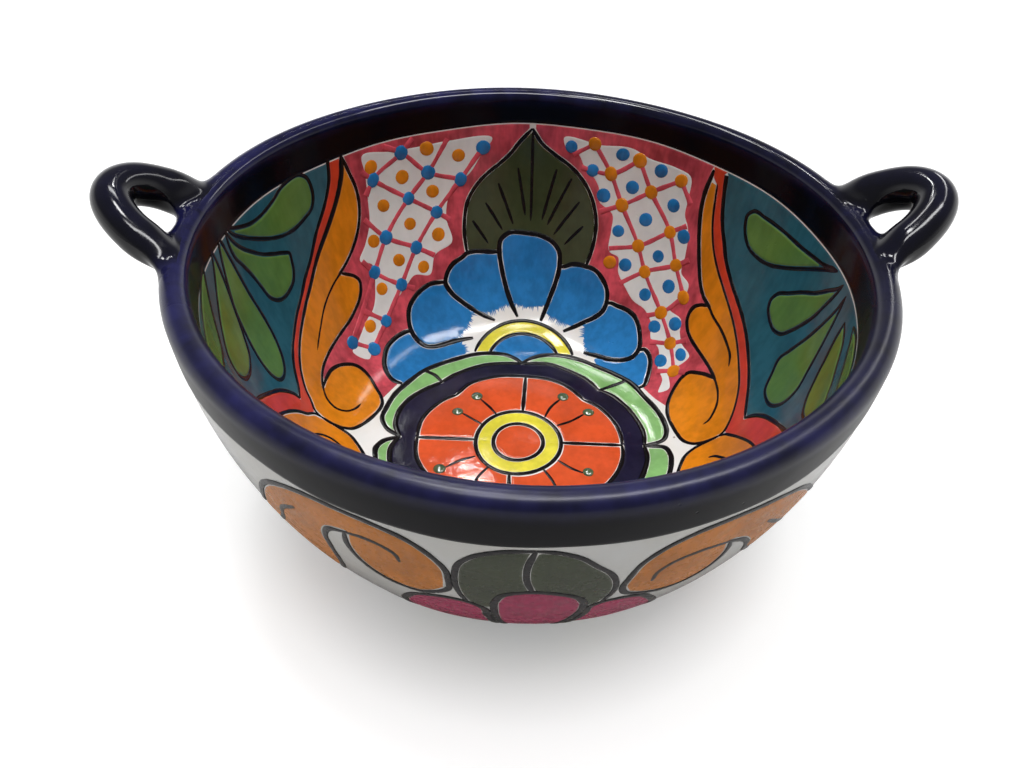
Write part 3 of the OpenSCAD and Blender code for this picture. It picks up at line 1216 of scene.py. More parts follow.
# The two sides of the floor flower behind its level line, in millimetres to the right and to the back
FLOOR_LEFT = {
    "outer": [(0, 58), (-3, 60.5), (-8, 63), (-15, 63.7), (-25, 62), (-35, 57.5), (-45, 51.5), (-52, 46),
              (-58, 38), (-64, 28), (-67, 18), (-68, 11), (-65.5, 6), (-58, 1.3)],
    "scallops": [[(0, 57.5), (-10, 57), (-20, 55), (-30, 50), (-38, 44), (-41.5, 40.5)],
                 [(-41.5, 40.5), (-46, 37), (-52, 32), (-57.5, 25), (-61, 15), (-61, 8), (-58, 1.3)]],
    "horn": [(-51, 46.5), (-46, 45), (-41.5, 41)],
    "petals": [[(-12, 46.8), (-18, 45), (-27, 40), (-33, 31.5)],
               [(-33, 31.5), (-38, 28.5), (-44, 22), (-48.5, 13.5), (-49.6, 6), (-49.5, 1.3)]],
}
FLOOR_RIGHT = {
    "outer": [(0, 58), (4, 61), (10, 63.5), (20, 63.8), (30, 61), (40, 55.5), (50, 49), (57, 43), (63, 33),
              (68, 24), (71, 15), (71.5, 9), (70, 4.5), (60, 1.3)],
    "scallops": [[(0, 57.5), (8, 58), (15, 57.5), (25, 53), (35, 46), (40, 39.5)],
                 [(40, 39.5), (46, 36), (53, 28), (58, 18), (60.5, 9), (60, 1.3)]],
    "horn": [(55, 44.5), (49, 42.5), (41, 39.5)],
    "petals": [[(8, 47.1), (14, 46), (20, 43.5), (27, 38), (32, 31.5)],
               [(32, 31.5), (38, 28), (44, 21), (48, 12.5), (49.3, 5), (49.2, 1.3)]],
}
# Its heart in millimetres: where the petals end, its two lines, its yellow ring and its middle
HEART_EDGE = 20.6
HEART_LINES = (20.4, 11.9)
HEART_RING = (19.2, 13.1)
HEART_MIDDLE = 10.6
# The upright line between the petals, behind the level line and, mirrored, before it
FLOOR_UPRIGHTS = {1.0: [(2.2, 47.5), (1.6, 34), (1.0, 21.6)], -1.0: [(-4.5, 47.5), (-4.6, 35), (-4.7, 22)]}
# The stems in the petals, each with its bead
FLOOR_STEMS = [
    ([(-12, 18.5), (-16, 24), (-20.5, 29)], (-22.5, 31)),
    ([(-19, 11.5), (-24, 15), (-29, 18.5)], (-31.5, 19.5)),
    ([(12, 18), (15, 25), (19.8, 31)], (21.5, 33)), ([(18, 12.5), (25, 16), (31.5, 21)], (34, 22.5)),
    ([(-21, -9.5), (-28, -12.5), (-34.5, -17)], (-37, -18)),
    ([(-14, -15), (-19, -22), (-21.5, -29)], (-22.5, -32)),
    ([(18, -10), (25, -15), (29.5, -17)], (32, -16.5)), ([(11, -15.5), (15, -22), (18, -29)], (19.5, -32))]


class MedallionBuilder(bpy.types.Operator):
    """Paints the large flower on the floor, with its two scalloped borders"""
    bl_idname = "bowl.medallion"
    bl_label = "Floor flower"

    def execute(self, context):
        section, sizes, colours = at_hand(context)
        line, fine, hair = sizes.line / MM, sizes.fine_line / MM, sizes.hair_line / MM
        gap, thin_gap = line / 2 + sizes.halo / MM, fine / 2 + sizes.halo / MM
        under = line / 2 - 0.4
        border, navy, flame = Coat(), Coat(), Coat()
        yellow, lines, beads = Coat(), Lines(), Dots()
        for flip, upright in FLOOR_UPRIGHTS.items():
            floor = FloorField(section, flip)
            middle = (-1.0, FLOOR_LEVEL - 0.3 * flip)
            meet = 90 - np.degrees(np.arcsin((upright[-1][0] - middle[0]) / HEART_EDGE))
            for half, side in ((FLOOR_LEFT, -1), (FLOOR_RIGHT, 1)):
                outer, scallops, petals = half["outer"], half["scallops"], half["petals"]
                border.lay(floor, outer, scallops[1][::-1], scallops[0][::-1], gap=gap)
                level = [petals[1][-1], (middle[0] + side * HEART_EDGE, FLOOR_LEVEL)]
                quarter = ring_points(middle, HEART_EDGE, 90 - side * 90, meet, 12)
                flame.lay(floor, upright[:1] + petals[0], petals[1], level, quarter, upright[::-1],
                          gap=thin_gap)
                for run in (outer, *scallops, half["horn"]):
                    lines.draw(floor, run, line)
                if flip > 0:
                    lines.draw(floor, level, fine)
            left, right = FLOOR_LEFT, FLOOR_RIGHT
            crown = left["petals"][0][::-1] + upright[:1] + right["petals"][0]
            # The front half of the inner border laps over the back half
            lap = FLOOR_LEVEL - (1.6 if flip < 0 else 0.0)
            navy.lay(floor, *left["scallops"], Run([(-58, lap), (-49.5, lap)], gap=0.0),
                     left["petals"][1][::-1], crown, right["petals"][1],
                     Run([(49.2, lap), (60, lap)], gap=0.0), right["scallops"][1][::-1],
                     right["scallops"][0][::-1], gap=under, base=0.0 if flip > 0 else 0.005)
            for run in (left["petals"][1], crown, right["petals"][1], upright):
                lines.draw(floor, run, fine)
        floor, middle = FloorField(section), (-1.0, 1.0)
        for radius in HEART_LINES:
            lines.draw(floor, ring_points(middle, radius), fine, closed=True)
        for start in (0, 180):
            yellow.lay(floor, ring_points(middle, HEART_RING[0], start, start + 180),
                       ring_points(middle, HEART_RING[1], start + 180, start))
        flame.lay(floor, ring_points(middle, HEART_MIDDLE))
        for stem, bead in FLOOR_STEMS:
            lines.draw(floor, stem, hair, lift=OVER_LIFT)
            beads.drop(floor, [bead], sizes.bead / MM, lift=0.1)
        paint("border_green", border, glaze("spring_green_glaze", colours.spring))
        dark = glaze("navy_glaze", colours.navy, deep=0.7, light=1.3, thin=0.0, gloss=(0.12, 0.2), ior=1.3)
        paint("border_navy", navy, dark)
        paint("floor_flower", flame, glaze("flame_glaze", colours.flame, gloss=(0.02, 0.06)))
        paint("floor_flower_ring", yellow, glaze("yellow_glaze", colours.yellow))
        ink("floor_flower_lines", lines, plain_glaze("black_line", colours.black))
        glassy = plain_glaze("bead_green", colours.bead, gloss=(0.06, 0.1), ior=2.1)
        dab("floor_flower_beads", beads, glassy, 0.4, 3)
        return {"FINISHED"}


# The leaf and the flower's petals, in degrees from the flower's axis and millimetres along the section
LEAF_LEFT = [(0.2, 188.5), (-2.8, 181.5), (-4.8, 176), (-7.6, 170.5), (-10.8, 165.5), (-14, 159),
             (-16.2, 152), (-17.4, 143.5), (-17.9, 134.5), (-17.7, 124)]
LEAF_RIGHT = [(0.2, 188.5), (2.5, 181.5), (6, 176), (10, 171), (13.2, 165.5), (15.6, 159.5), (17.6, 152),
              (18.8, 144.5), (19.3, 136.5), (19.2, 129), (18.5, 119.5)]
LEAF_STROKES = [[(0.3, 187), (0.6, 165), (0.9, 140)], [(-3, 168), (-0.7, 143)], [(-8, 160), (-4, 138)],
                [(-11.5, 150), (-7, 135)], [(-15.3, 141), (-11.2, 128)], [(6.8, 168.5), (4, 141)],
                [(10.8, 164.5), (5.6, 138.5)], [(13.6, 153), (7.6, 133.5)], [(15.6, 140.5), (11, 129)]]
PETAL_MID_LEFT = [(-2.2, 87), (-4.6, 95.5), (-6.4, 105.5), (-7.6, 116.5), (-8, 123.5)]
PETAL_MID_TOP = [(-8, 123.5), (-7.4, 130), (-5.5, 133), (0, 133.4), (4.8, 132), (7.6, 129.5), (9.6, 125.5),
                 (10.5, 117)]
PETAL_MID_RIGHT = [(10.5, 117), (9.8, 106.5), (8.6, 98), (7.4, 90), (6.6, 85.5)]
PETAL_L1_IN = [(-8, 123.5), (-9.6, 123.3), (-12.8, 124), (-16, 124.4), (-17.7, 124)]
PETAL_L1_OUT = [(-17.7, 124), (-19.2, 122.2), (-22.4, 119.4), (-24.8, 114.5), (-25.7, 110.5)]
PETAL_L1_LOW = [(-25.7, 110.5), (-24.4, 104), (-21.6, 98.3), (-18.4, 93.3), (-14.8, 89), (-10.8, 85.5)]
PETAL_L2_TOP = [(-25.7, 110.5), (-27.2, 111), (-30, 111.7), (-33.2, 110.5), (-36.4, 107.8), (-39.6, 103.3),
                (-41.4, 97.8), (-42.4, 91.7)]
PETAL_L2_LOW = [(-42.4, 91.7), (-42, 85.5), (-40.4, 81), (-37.6, 78.9), (-33.6, 78), (-28.8, 77.8),
                (-20.8, 77)]
PETAL_L3_TOP = [(-42.4, 91.7), (-44, 92.4), (-47.3, 92.6), (-50.6, 92), (-53.8, 90.5), (-56.5, 87.8),
                (-59.3, 84), (-61, 79.4), (-61.5, 75.5), (-60, 71)]
PETAL_R1_IN = [(10.5, 117), (11.6, 117), (14, 119), (16.8, 119.8), (18.5, 119.5)]
PETAL_R1_OUT = [(18.5, 119.5), (19.6, 119.5), (22, 118.3), (24.4, 115), (26.4, 111), (27.6, 105.5),
                (27.8, 103)]
PETAL_R1_LOW = [(27.8, 103), (27.4, 98.3), (25.6, 94), (22.8, 90), (19.6, 85.7), (16, 81.7)]
PETAL_R2_TOP = [(27.8, 103), (28.8, 104), (31.6, 104), (34.8, 104), (38, 102.8), (40.8, 99.5), (43.2, 95),
                (45.2, 90.5), (45.8, 88)]
PETAL_R2_LOW = [(45.8, 88), (45.5, 82.8), (43.6, 79.5), (40.4, 76.7), (36.8, 75), (32, 74), (27.2, 73)]
PETAL_R3_TOP = [(45.8, 88), (47.5, 90), (49.7, 89.4), (52, 87.2), (54.3, 83.3), (56.5, 79),
                (58, 75.5), (57.5, 72.5)]
# The runs of each petal's outline, and its ragged end, if it has one, where the brush ran dry
FLOWER_PETALS = [
    ([PETAL_MID_LEFT[1:], PETAL_MID_TOP, PETAL_MID_RIGHT[:-2]], [(8.3, 95), (2, 93.5), (-4.4, 95)]),
    ([PETAL_L1_LOW[:-2][::-1], PETAL_L1_OUT[::-1], PETAL_L1_IN[::-1], PETAL_MID_LEFT[1:][::-1]],
     [(-4.8, 95.5), (-9, 92.5), (-13.5, 91), (-18.2, 93)]),
    ([PETAL_L2_LOW[:-1][::-1], PETAL_L2_TOP[::-1], PETAL_L1_LOW[:4]],
     [(-18.4, 93), (-20, 88), (-23, 83.5), (-28.5, 78)]),
    ([Run([(-27, 68.6), (-33, 69), (-45, 69.8), (-56, 70.4), (-60, 71)], gap=0.0), PETAL_L3_TOP[::-1],
      PETAL_L2_LOW[:-1]], [(-28.8, 77.8), (-26, 74), (-27, 68.6)]),
    ([PETAL_MID_RIGHT[:-1][::-1], PETAL_R1_IN, PETAL_R1_OUT, PETAL_R1_LOW[:-1]],
     [(19.5, 86), (15, 87), (11, 89), (7.6, 91)]),
    ([PETAL_R1_LOW[:-2][::-1], PETAL_R2_TOP, PETAL_R2_LOW[:-1]],
     [(31, 74), (27, 77), (24.5, 83), (22.8, 89.5)]),
    ([PETAL_R2_LOW[1:-2][::-1], [(45.5, 82.8), (45.8, 88)], PETAL_R3_TOP,
      Run([(57.5, 72.5), (50, 71.7), (42, 70.6), (35, 69.6), (33, 71.5), (36.8, 75)], gap=0.0)], None)]
FLOWER_LINES = [PETAL_MID_LEFT + PETAL_MID_TOP[1:] + PETAL_MID_RIGHT[1:],
                PETAL_L1_IN + PETAL_L1_OUT[1:] + PETAL_L1_LOW[1:], PETAL_L2_TOP + PETAL_L2_LOW[1:],
                PETAL_L3_TOP, PETAL_R1_IN + PETAL_R1_OUT[1:] + PETAL_R1_LOW[1:],
                PETAL_R2_TOP + PETAL_R2_LOW[1:], PETAL_R3_TOP]
# How far a dry brush leaves a petal ragged, in millimetres
DRY_BRUSH = 4.0
# A yellow ring round a blue heart, both cut off by the border: their middle in millimetres, and the
# radius and the two ends in degrees of the ring's lines, its outer and inner edge and the heart
RING_MIDDLE = (0.5, 58)
RING_LINES = ((27, 12, 168), (19.3, 18, 162))
RING_OUTER = (26, 14, 166)
RING_INNER = (20.4, 161, 19)
RING_HEART = (18.2, 24, 156)


class FlowerBuilder(bpy.types.Operator):
    """Paints the blue flowers that grow from the border, each with a dark leaf behind it"""
    bl_idname = "bowl.flowers"
    bl_label = "Blue flowers"

    def execute(self, context):
        section, sizes, colours = at_hand(context)
        line, fine = sizes.line / MM, sizes.fine_line / MM
        gap = line / 2 + sizes.halo / MM
        leaf, blue, yellow, lines, strokes = Coat(), Coat(), Coat(), Lines(), Lines()
        walls = fields(section)
        for name, flip in (("back", 1.0), ("front", -1.0)):
            wall, floor = walls[name], FloorField(section, flip)
            leaf.lay(wall, LEAF_RIGHT, PETAL_R1_IN[::-1], PETAL_MID_TOP[::-1], PETAL_L1_IN, LEAF_LEFT[::-1],
                     gap=fine / 2 + 0.1)
            for number, (runs, dry) in enumerate(FLOWER_PETALS):
                if dry:
                    runs = runs + [Run(dry, gap=0.0, ragged=DRY_BRUSH)]
                blue.lay(wall, *runs, gap=gap, seed=11 + number)
            for run in FLOWER_LINES:
                lines.draw(wall, run, line)
            for run in (LEAF_LEFT, LEAF_RIGHT):
                lines.draw(wall, run, fine)
            for stroke in LEAF_STROKES:
                strokes.draw(wall, stroke, fine * 0.85, lift=OVER_LIFT, taper=(0.6, 0.3))
            for stretch in RING_LINES:
                lines.draw(floor, ring_points(RING_MIDDLE, *stretch), fine)
            yellow.lay(floor, ring_points(RING_MIDDLE, *RING_OUTER), [(-24.7, 64), (-19.3, 64.8)],
                       ring_points(RING_MIDDLE, *RING_INNER), [(19.8, 64.6), (25.7, 64.3)])
            blue.lay(floor, ring_points(RING_MIDDLE, *RING_HEART),
                     [(-16.2, 65.2), (-8, 64), (-3, 61.5), (0.3, 58.8)],
                     [(0.3, 58.8), (4, 61.9), (9, 64.2), (17, 65.2)])
        paint("leaf", leaf, glaze("olive_glaze", colours.olive, thin=0.05))
        paint("flower_petals", blue, glaze("blue_glaze", colours.blue, streak=0.9))
        paint("flower_rings", yellow, glaze("yellow_glaze", colours.yellow))
        black = plain_glaze("black_line", colours.black)
        ink("flower_lines", lines, black)
        ink("leaf_veins", strokes, black)
        return {"FINISHED"}


# The orange scrolls in the same measures, with the widths of their lines as shares of a main brush line
SCROLL_LEFT = {
    "brush": {"spine": (0.7, 0.55), "bud": (0.7, 0.6), "ball": (0.75, 0.65), "back": (0.55, 1.2)},
    "top": 0, "halo": 0.5,
    "spine": [(-47.4, 189), (-46.2, 180), (-45.2, 171), (-45.2, 165), (-45.8, 159), (-47.9, 150),
              (-50.2, 144.5), (-53, 140), (-56.5, 136.3)],
    "divider": [(-56.5, 136.3), (-60, 133.3), (-65, 128), (-70, 121.3), (-76, 114)],
    "bud": [(-56.5, 136.3), (-55, 134.3), (-53, 131.5), (-51.8, 128), (-52.3, 124), (-54, 119.7),
            (-57, 115.9), (-60, 113.4), (-65, 111.3), (-70, 109.7), (-74, 108.3), (-79, 105.8),
            (-83, 101.5)],
    "crook": [(-83, 101.5), (-85.5, 97), (-86.3, 91), (-85, 86), (-82, 82.5), (-78.5, 81)],
    "ball": [(-83, 101.5), (-79, 102.4), (-76, 102.5), (-73, 101), (-70, 98), (-67.6, 94), (-66.8, 89),
             (-67.3, 84.5), (-69, 79.5), (-71, 75), (-73.5, 72.4)],
    "under": [(-73.5, 72.4), (-76, 71.8), (-79, 72.3), (-84, 74.4), (-88, 77.3), (-91, 81), (-92.3, 86),
              (-92.7, 91), (-92.7, 97)],
    "back": [(-92.7, 97), (-92.2, 101), (-90, 105.3), (-88.4, 110), (-86, 115), (-82.9, 120), (-79, 125),
             (-74.7, 130), (-70.6, 135), (-66.8, 140), (-60.9, 150), (-55.2, 160), (-51, 170), (-48.4, 180),
             (-47.4, 189)],
}
SCROLL_RIGHT = {
    "brush": {"spine": (0.9, 0.75), "bud": (0.8, 0.7), "ball": (0.8, 0.65), "back": (0.6, 0.45)},
    "top": 1, "halo": -0.5,
    "spine": [(45.4, 188), (45.1, 183), (44.8, 178), (45.2, 167), (46.5, 158), (48.4, 149),
              (50.6, 141), (52.9, 134.5), (55.6, 130), (58.3, 128)],
    "divider": [(58.3, 128), (61, 125.5), (65.6, 123.3), (70.2, 120.5), (73.4, 118), (75.4, 114.4)],
    "bud": [(58.3, 128), (56, 126), (54.5, 123.3), (54, 120), (54.5, 115.5), (56, 112), (58.4, 109.4),
            (61.5, 107.8), (65.6, 106.7), (70.2, 105.8), (74.5, 104.7)],
    "crook": [(74.5, 104.7), (79.7, 102.2), (82.5, 99.4), (84.5, 96), (86, 92.5), (86.3, 89.5)],
    "ball": [(74.5, 104.7), (71, 102.2), (68.4, 99.4), (66, 96), (65.6, 92.2), (66.3, 87.8), (67.9, 83.3),
             (70.2, 79.4), (73.4, 76.7)],
    "under": [(73.4, 76.7), (77.5, 75.3), (81.5, 75.5), (85.6, 76.4), (89.7, 78.5), (92, 82), (93.1, 86.5),
              (93.4, 91), (93.4, 96)],
    "back": [(93.4, 96), (92.8, 99), (91.1, 102.2), (87.5, 107.8), (82.9, 114), (77.9, 119), (72.9, 124.5),
             (67.9, 130), (63.4, 135), (59.3, 140), (55.6, 145.5), (52.9, 151), (50.6, 158), (49, 165.5),
             (47.9, 174.5), (47.4, 180), (47.2, 182.5)],
}


class ScrollBuilder(bpy.types.Operator):
    """Paints the orange scrolls of the inside"""
    bl_idname = "bowl.scrolls"
    bl_label = "Orange scrolls"

    def execute(self, context):
        section, sizes, colours = at_hand(context)
        line, halo = sizes.line / MM, sizes.halo / MM
        orange, lines = Coat(), Lines()
        walls = fields(section)
        for wall in (walls["back"], walls["front"]):
            for scroll in (SCROLL_LEFT, SCROLL_RIGHT):
                brush = {part: (line * start, line * end) for part, (start, end) in scroll["brush"].items()}

                def edge(part, like):
                    """A run of the outline, clear of a line as wide as one of the scroll's brush lines."""
                    return Run(scroll[part], gap=sum(brush[like]) / 4 + scroll["halo"] * halo)
                orange.lay(wall, Run(scroll["spine"][scroll["top"]:], gap=brush["spine"][0] / 2),
                           edge("bud", "bud"), edge("ball", "ball"), edge("under", "ball"),
                           edge("back", "back"))
                lines.draw(wall, scroll["spine"] + scroll["divider"][1:], brush["spine"])
                lines.draw(wall, scroll["bud"] + scroll["crook"][1:], brush["bud"])
                lines.draw(wall, scroll["ball"] + scroll["under"][1:], brush["ball"])
                lines.draw(wall, scroll["back"], brush["back"])
        paint("scrolls", orange, glaze("orange_glaze", colours.orange, streak=0.8))
        ink("scroll_lines", lines, plain_glaze("black_line", colours.black))
        return {"FINISHED"}


# The side panels in degrees from their axis, with the back to the right, and in millimetres
PANEL_LEFT = {
    "brush": 0.75,
    "back_top": [(41.7, 190), (40.9, 180), (38.2, 170), (33.7, 160), (29.1, 150), (25.7, 145), (22.5, 140),
                 (18, 135), (13.7, 130), (9.3, 125), (5.7, 119.5), (3.2, 115), (0, 111.5)],
    "front_top": [(0, 111.5), (-0.4, 115), (-1.4, 118.2), (-4.2, 124.4), (-8.4, 130.6), (-15, 139.5),
                  (-21, 147), (-28, 158), (-34, 170), (-38, 180), (-41, 190)],
    "low": [(45, 190), (44.3, 180), (41.7, 170), (37.5, 160), (31.8, 150), (25.9, 140), (22.1, 135),
            (18, 130), (13.7, 125), (9.8, 120), (6.7, 115), (4.3, 110), (2.7, 105.3), (0, 101)],
    "petals": [
        [(8.2, 191), (12.7, 186), (16.7, 183.2), (20.7, 183), (24.7, 185), (27.7, 187.8), (30.7, 189),
         (33.7, 188.5), (35.2, 186), (35.9, 181), (35.7, 176), (34.7, 172), (31.7, 169), (27.7, 167.4),
         (24.7, 168), (21.7, 170), (18.7, 173), (15.7, 176.7), (12.7, 181), (9.7, 186.5), (8.2, 191)],
        [(7.6, 191), (7.3, 185), (7.7, 178), (9.2, 172), (10.7, 165), (11.7, 158), (12.7, 151),
         (14.2, 147.5), (16.7, 145.3), (19.2, 145.6), (21.7, 147.5), (23.2, 151), (24, 156),
         (24.2, 159.5), (22.7, 161.5), (19.7, 164.5), (16.7, 168), (13.7, 173), (10.7, 179),
         (8.7, 185), (7.6, 191)],
        [(4.5, 192), (5.2, 188), (6, 180), (6.7, 170), (7.1, 160), (7.5, 150), (7.4, 143), (6.4, 134),
         (4.7, 128), (2.7, 125), (0.7, 124.3), (-1.3, 126), (-2.6, 131), (-2.9, 138), (-2.3, 147),
         (-1.3, 156), (-0.3, 165), (1.2, 173), (2.4, 180), (3.7, 188), (4.5, 192)],
        [(0.5, 192), (-1, 186), (-5.3, 177), (-10.4, 169), (-14.5, 161.5), (-15, 154), (-13.5, 149),
         (-8.8, 145.6), (-5.2, 148), (-2.5, 155), (-0.4, 165), (0.8, 175), (1, 185), (0.5, 192)],
        [(-5, 193), (-11, 190), (-17, 187), (-22.5, 185), (-28, 185), (-32, 182), (-33, 177), (-31, 172),
         (-26, 168.5), (-20, 167), (-15, 168.5), (-11.4, 175.4), (-8.5, 183), (-5, 193)],
    ],
}
PANEL_RIGHT = {
    "brush": 0.85,
    "back_top": [(44.6, 188), (43.9, 180), (42.8, 172), (41.2, 164.5), (39.4, 159), (36.9, 152),
                 (33.2, 145.5), (29.1, 140.5), (24.1, 135.5), (18.9, 130), (13.7, 124.5), (8.2, 119),
                 (3.7, 114.5), (0, 111.5)],
    "front_top": [(0, 111.5), (-1.5, 116), (-4.5, 122), (-9, 128), (-15.7, 135.7), (-22, 143), (-29, 152),
                  (-35, 162), (-40, 175), (-43, 188)],
    "low": [(48.2, 188), (47.8, 184.5), (46.3, 181), (45.5, 174.5), (44.4, 165.5), (42.8, 158), (40.5, 151),
            (37.8, 145.5), (34.1, 140), (30, 135), (25.5, 130), (20.5, 124.5), (15.5, 119), (10.5, 114),
            (5.9, 107.8), (2.3, 102.2), (0, 98.5)],
    "petals": [
        [(5.4, 187.5), (7.4, 186), (10.5, 183.3), (14.1, 181.7), (19.2, 180.2), (25.4, 180), (31.4, 179.8),
         (35, 179.3), (36.2, 176), (35.9, 172), (34.6, 167), (32.4, 163.3), (28.7, 162), (25, 163.3),
         (21.4, 166.7), (17.8, 171), (14.1, 176), (10.5, 181), (5.4, 187.5)],
        [(1.4, 187), (2.4, 184), (5, 179), (8.7, 172), (12.4, 166.7), (15.9, 161), (18.9, 156),
         (19.6, 152.2), (18.9, 148.3), (16.9, 145.5), (13.7, 144), (10.9, 146), (9.1, 150.5),
         (6.9, 157.8), (5, 165.5), (3.7, 173.3), (2.5, 180), (1.4, 187)],
        [(-1.4, 186), (-0.9, 180), (0.7, 170), (2.8, 157.8), (5, 146.7), (6.2, 139), (4.9, 133.5),
         (2.5, 126.5), (-3.2, 127.3), (-6.1, 133.2), (-7, 143.3), (-4.9, 154.6), (-3.1, 166.9),
         (-1.9, 179), (-1.4, 186)],
        [(-6.4, 181), (-6.7, 172.7), (-8.1, 164.5), (-10.1, 156.7), (-13.1, 150.4), (-16.2, 148.6),
         (-20.7, 152.4), (-23.2, 159.7), (-22.7, 164.6), (-19.5, 168.4), (-14.5, 172.8), (-11.1, 177.4),
         (-6.4, 181)],
        [(-11, 186), (-16, 180.5), (-21, 176.5), (-27, 175), (-33, 177), (-36, 181), (-34, 185), (-28, 187),
         (-20, 187.5), (-14, 187.5), (-11, 186)],
    ],
}


class PanelBuilder(bpy.types.Operator):
    """Paints the teal panels beside the handles, with their red stripes and green petals"""
    bl_idname = "bowl.panels"
    bl_label = "Side panels"

    def execute(self, context):
        section, sizes, colours = at_hand(context)
        fine = sizes.fine_line / MM
        teal, red, green, lines = Coat(), Coat(), Coat(), Lines()
        walls = fields(section)
        for wall, panel in ((walls["left"], PANEL_LEFT), (walls["right"], PANEL_RIGHT)):
            back, front, low = panel["back_top"], panel["front_top"], panel["low"]
            width = panel["brush"] * sizes.line / MM
            under = width / 2 - 0.1
            teal.lay(wall, back, front, under_band(wall, front[-1][0], back[0][0]), gap=under, thick=0.75)
            red.lay(wall, Run(low, gap=0.55), Run(mirrored(low)[::-1], gap=0.55),
                    under_band(wall, -low[0][0], front[-1][0]), front[::-1], back[::-1],
                    under_band(wall, back[0][0], low[0][0]), gap=under)
            lines.draw(wall, back, width, taper=(1.0, 0.6))
            lines.draw(wall, front, width, taper=(0.6, 1.0))
            for petal in panel["petals"]:
                green.lay(wall, petal, Run(petal[-1:] + petal[:1]), gap=fine / 2, thick=1.875, base=0.02)
                lines.draw(wall, petal, fine * 0.9, lift=0.12, taper=(0.4, 0.4))
        paint("panel_teal", teal, glaze("teal_glaze", colours.teal, streak=0.9, ior=1.34))
        paint("panel_stripes", red, glaze("red_glaze", colours.red))
        paint("panel_petals", green, glaze("green_glaze", colours.green, ior=1.34))
        ink("panel_lines", lines, plain_glaze("black_line", colours.black))
        return {"FINISHED"}


# The lattices beside the back leaf: the white field, the rose lines over it and where the dots stand
LATTICE_LEFT = {
    "field": [(-42.3, 185.4), (-35, 184), (-28, 183.3), (-20, 184), (-9.5, 183), (-12, 176), (-16, 165),
              (-19.5, 161.5), (-21.6, 153.5), (-22.5, 144.5), (-21.8, 131), (-27.3, 126), (-30, 116.5),
              (-35, 118.5), (-38, 115), (-44.3, 108), (-48.3, 102.5), (-53, 97.5), (-59, 94), (-62, 91.5),
              (-65.2, 100.3), (-61.8, 102), (-54, 109), (-51.6, 111), (-47.7, 122), (-46.4, 132),
              (-49.6, 136.5), (-46.7, 143), (-44, 151.6), (-42.8, 164), (-42.2, 177)],
    "lines": [
        [(-36.5, 187), (-32.3, 182), (-26, 169.5), (-17.8, 163.5)],
        [(-43, 178), (-40.4, 172.5), (-32, 158.5), (-25, 148.3), (-21.5, 143)],
        [(-45, 155), (-40.3, 142.5), (-32.4, 132.5), (-27.5, 126)],
        [(-49, 136), (-46.5, 128), (-39.7, 116.3), (-36, 112)], [(-54.5, 113), (-49, 102.5)],
        [(-63.3, 103.5), (-58.2, 94)],
        [(-20.5, 185), (-26, 169.5), (-32, 158.5), (-40.3, 142.5), (-46.5, 128), (-55, 113),
         (-63.3, 103.5)],
        [(-11.8, 179), (-17.8, 163.5), (-25, 148.3), (-32.4, 132.5), (-39.7, 116.3), (-49, 102.5),
         (-58.2, 94)],
        [(-29, 188), (-32.3, 182), (-40.4, 172.5), (-43, 166)]],
    "cells": [(-40.4, 179), (-25.8, 181.5), (-18, 176), (-32.8, 170), (-39, 158.5), (-25.4, 159.5),
              (-44, 143), (-32.8, 145.5), (-25.4, 136.5), (-38.3, 129), (-46.1, 118.5),
              (-31.5, 121.5), (-54.8, 104.5)],
    "crossings": [(-32.3, 182), (-40.4, 172.5), (-26, 169.5), (-11.8, 179), (-17.8, 163.5), (-32, 158.5),
                  (-25, 148.3), (-40.3, 142.5), (-32.4, 132.5), (-46.5, 128), (-39.7, 116.3),
                  (-63.3, 103.5), (-49, 102.5), (-58.2, 94)],
}
LATTICE_RIGHT = {
    "field": [(7.8, 184.3), (17, 184), (25, 185.5), (29, 183), (36.4, 182.4), (40, 181), (41.2, 170.5),
              (41.8, 161), (43.1, 157.6), (45.6, 142), (46.3, 134.5), (49.8, 131), (50, 122), (48, 115),
              (52.8, 113.6), (54.6, 108), (57, 104.4), (62.3, 101.4), (61.7, 95.5), (60.3, 90.2),
              (65.9, 82.5), (64.6, 78.2), (60.9, 84), (56.8, 86), (51, 95), (47.6, 96), (43.6, 104.7),
              (40.6, 108), (35.6, 110), (32, 114.7), (28.5, 121), (27, 129), (24.6, 130),
              (23.4, 141.7), (22.9, 149.5), (18.5, 155.6), (18, 162), (16.7, 166), (13.8, 171),
              (11.5, 178), (8.6, 180)],
    "lines": [
        [(10.5, 177), (15.5, 184)],
        [(15.5, 184), (20.5, 170.5), (24.8, 156), (31.9, 138), (36.1, 126.5), (45.8, 111),
         (53.9, 100.5), (61.5, 91)],
        [(27, 180.5), (31.5, 166.7), (39.2, 150.7), (44, 136.5), (50, 124)], [(38.2, 177), (42, 168)],
        [(13, 171), (20.5, 170.5), (27, 180.5)], [(19.5, 150), (24.8, 156), (31.5, 166.7), (38.2, 177)],
        [(24, 132), (31.9, 138), (39.2, 150.7), (43, 157)],
        [(30, 116), (36.1, 126.5), (44, 136.5), (47, 142)], [(42, 106), (45.8, 111), (50, 124)],
        [(47.5, 95), (53.9, 100.5), (58, 107)], [(57, 85), (61.5, 91), (65, 95)]],
    "cells": [(9.9, 181), (22.6, 181.5), (32.7, 178.5), (15.8, 170.5), (26.5, 166.3), (38, 164),
              (19.6, 158.7), (31.9, 152.3), (43.1, 151.5), (25.4, 142.3), (38.3, 136.8),
              (29.9, 126.2), (44.5, 125), (38.7, 115.5), (51.7, 110), (46.1, 103), (59.4, 99.5),
              (55.2, 90.5)],
    "crossings": [(15.5, 184), (27, 180.5), (38.2, 177), (20.5, 170.5), (31.5, 166.7), (24.8, 156),
                  (39.2, 150.7), (31.9, 138), (44, 136.5), (25.2, 125), (36.1, 126.5), (50, 124),
                  (45.8, 111), (53.9, 100.5), (61.5, 91)],
}
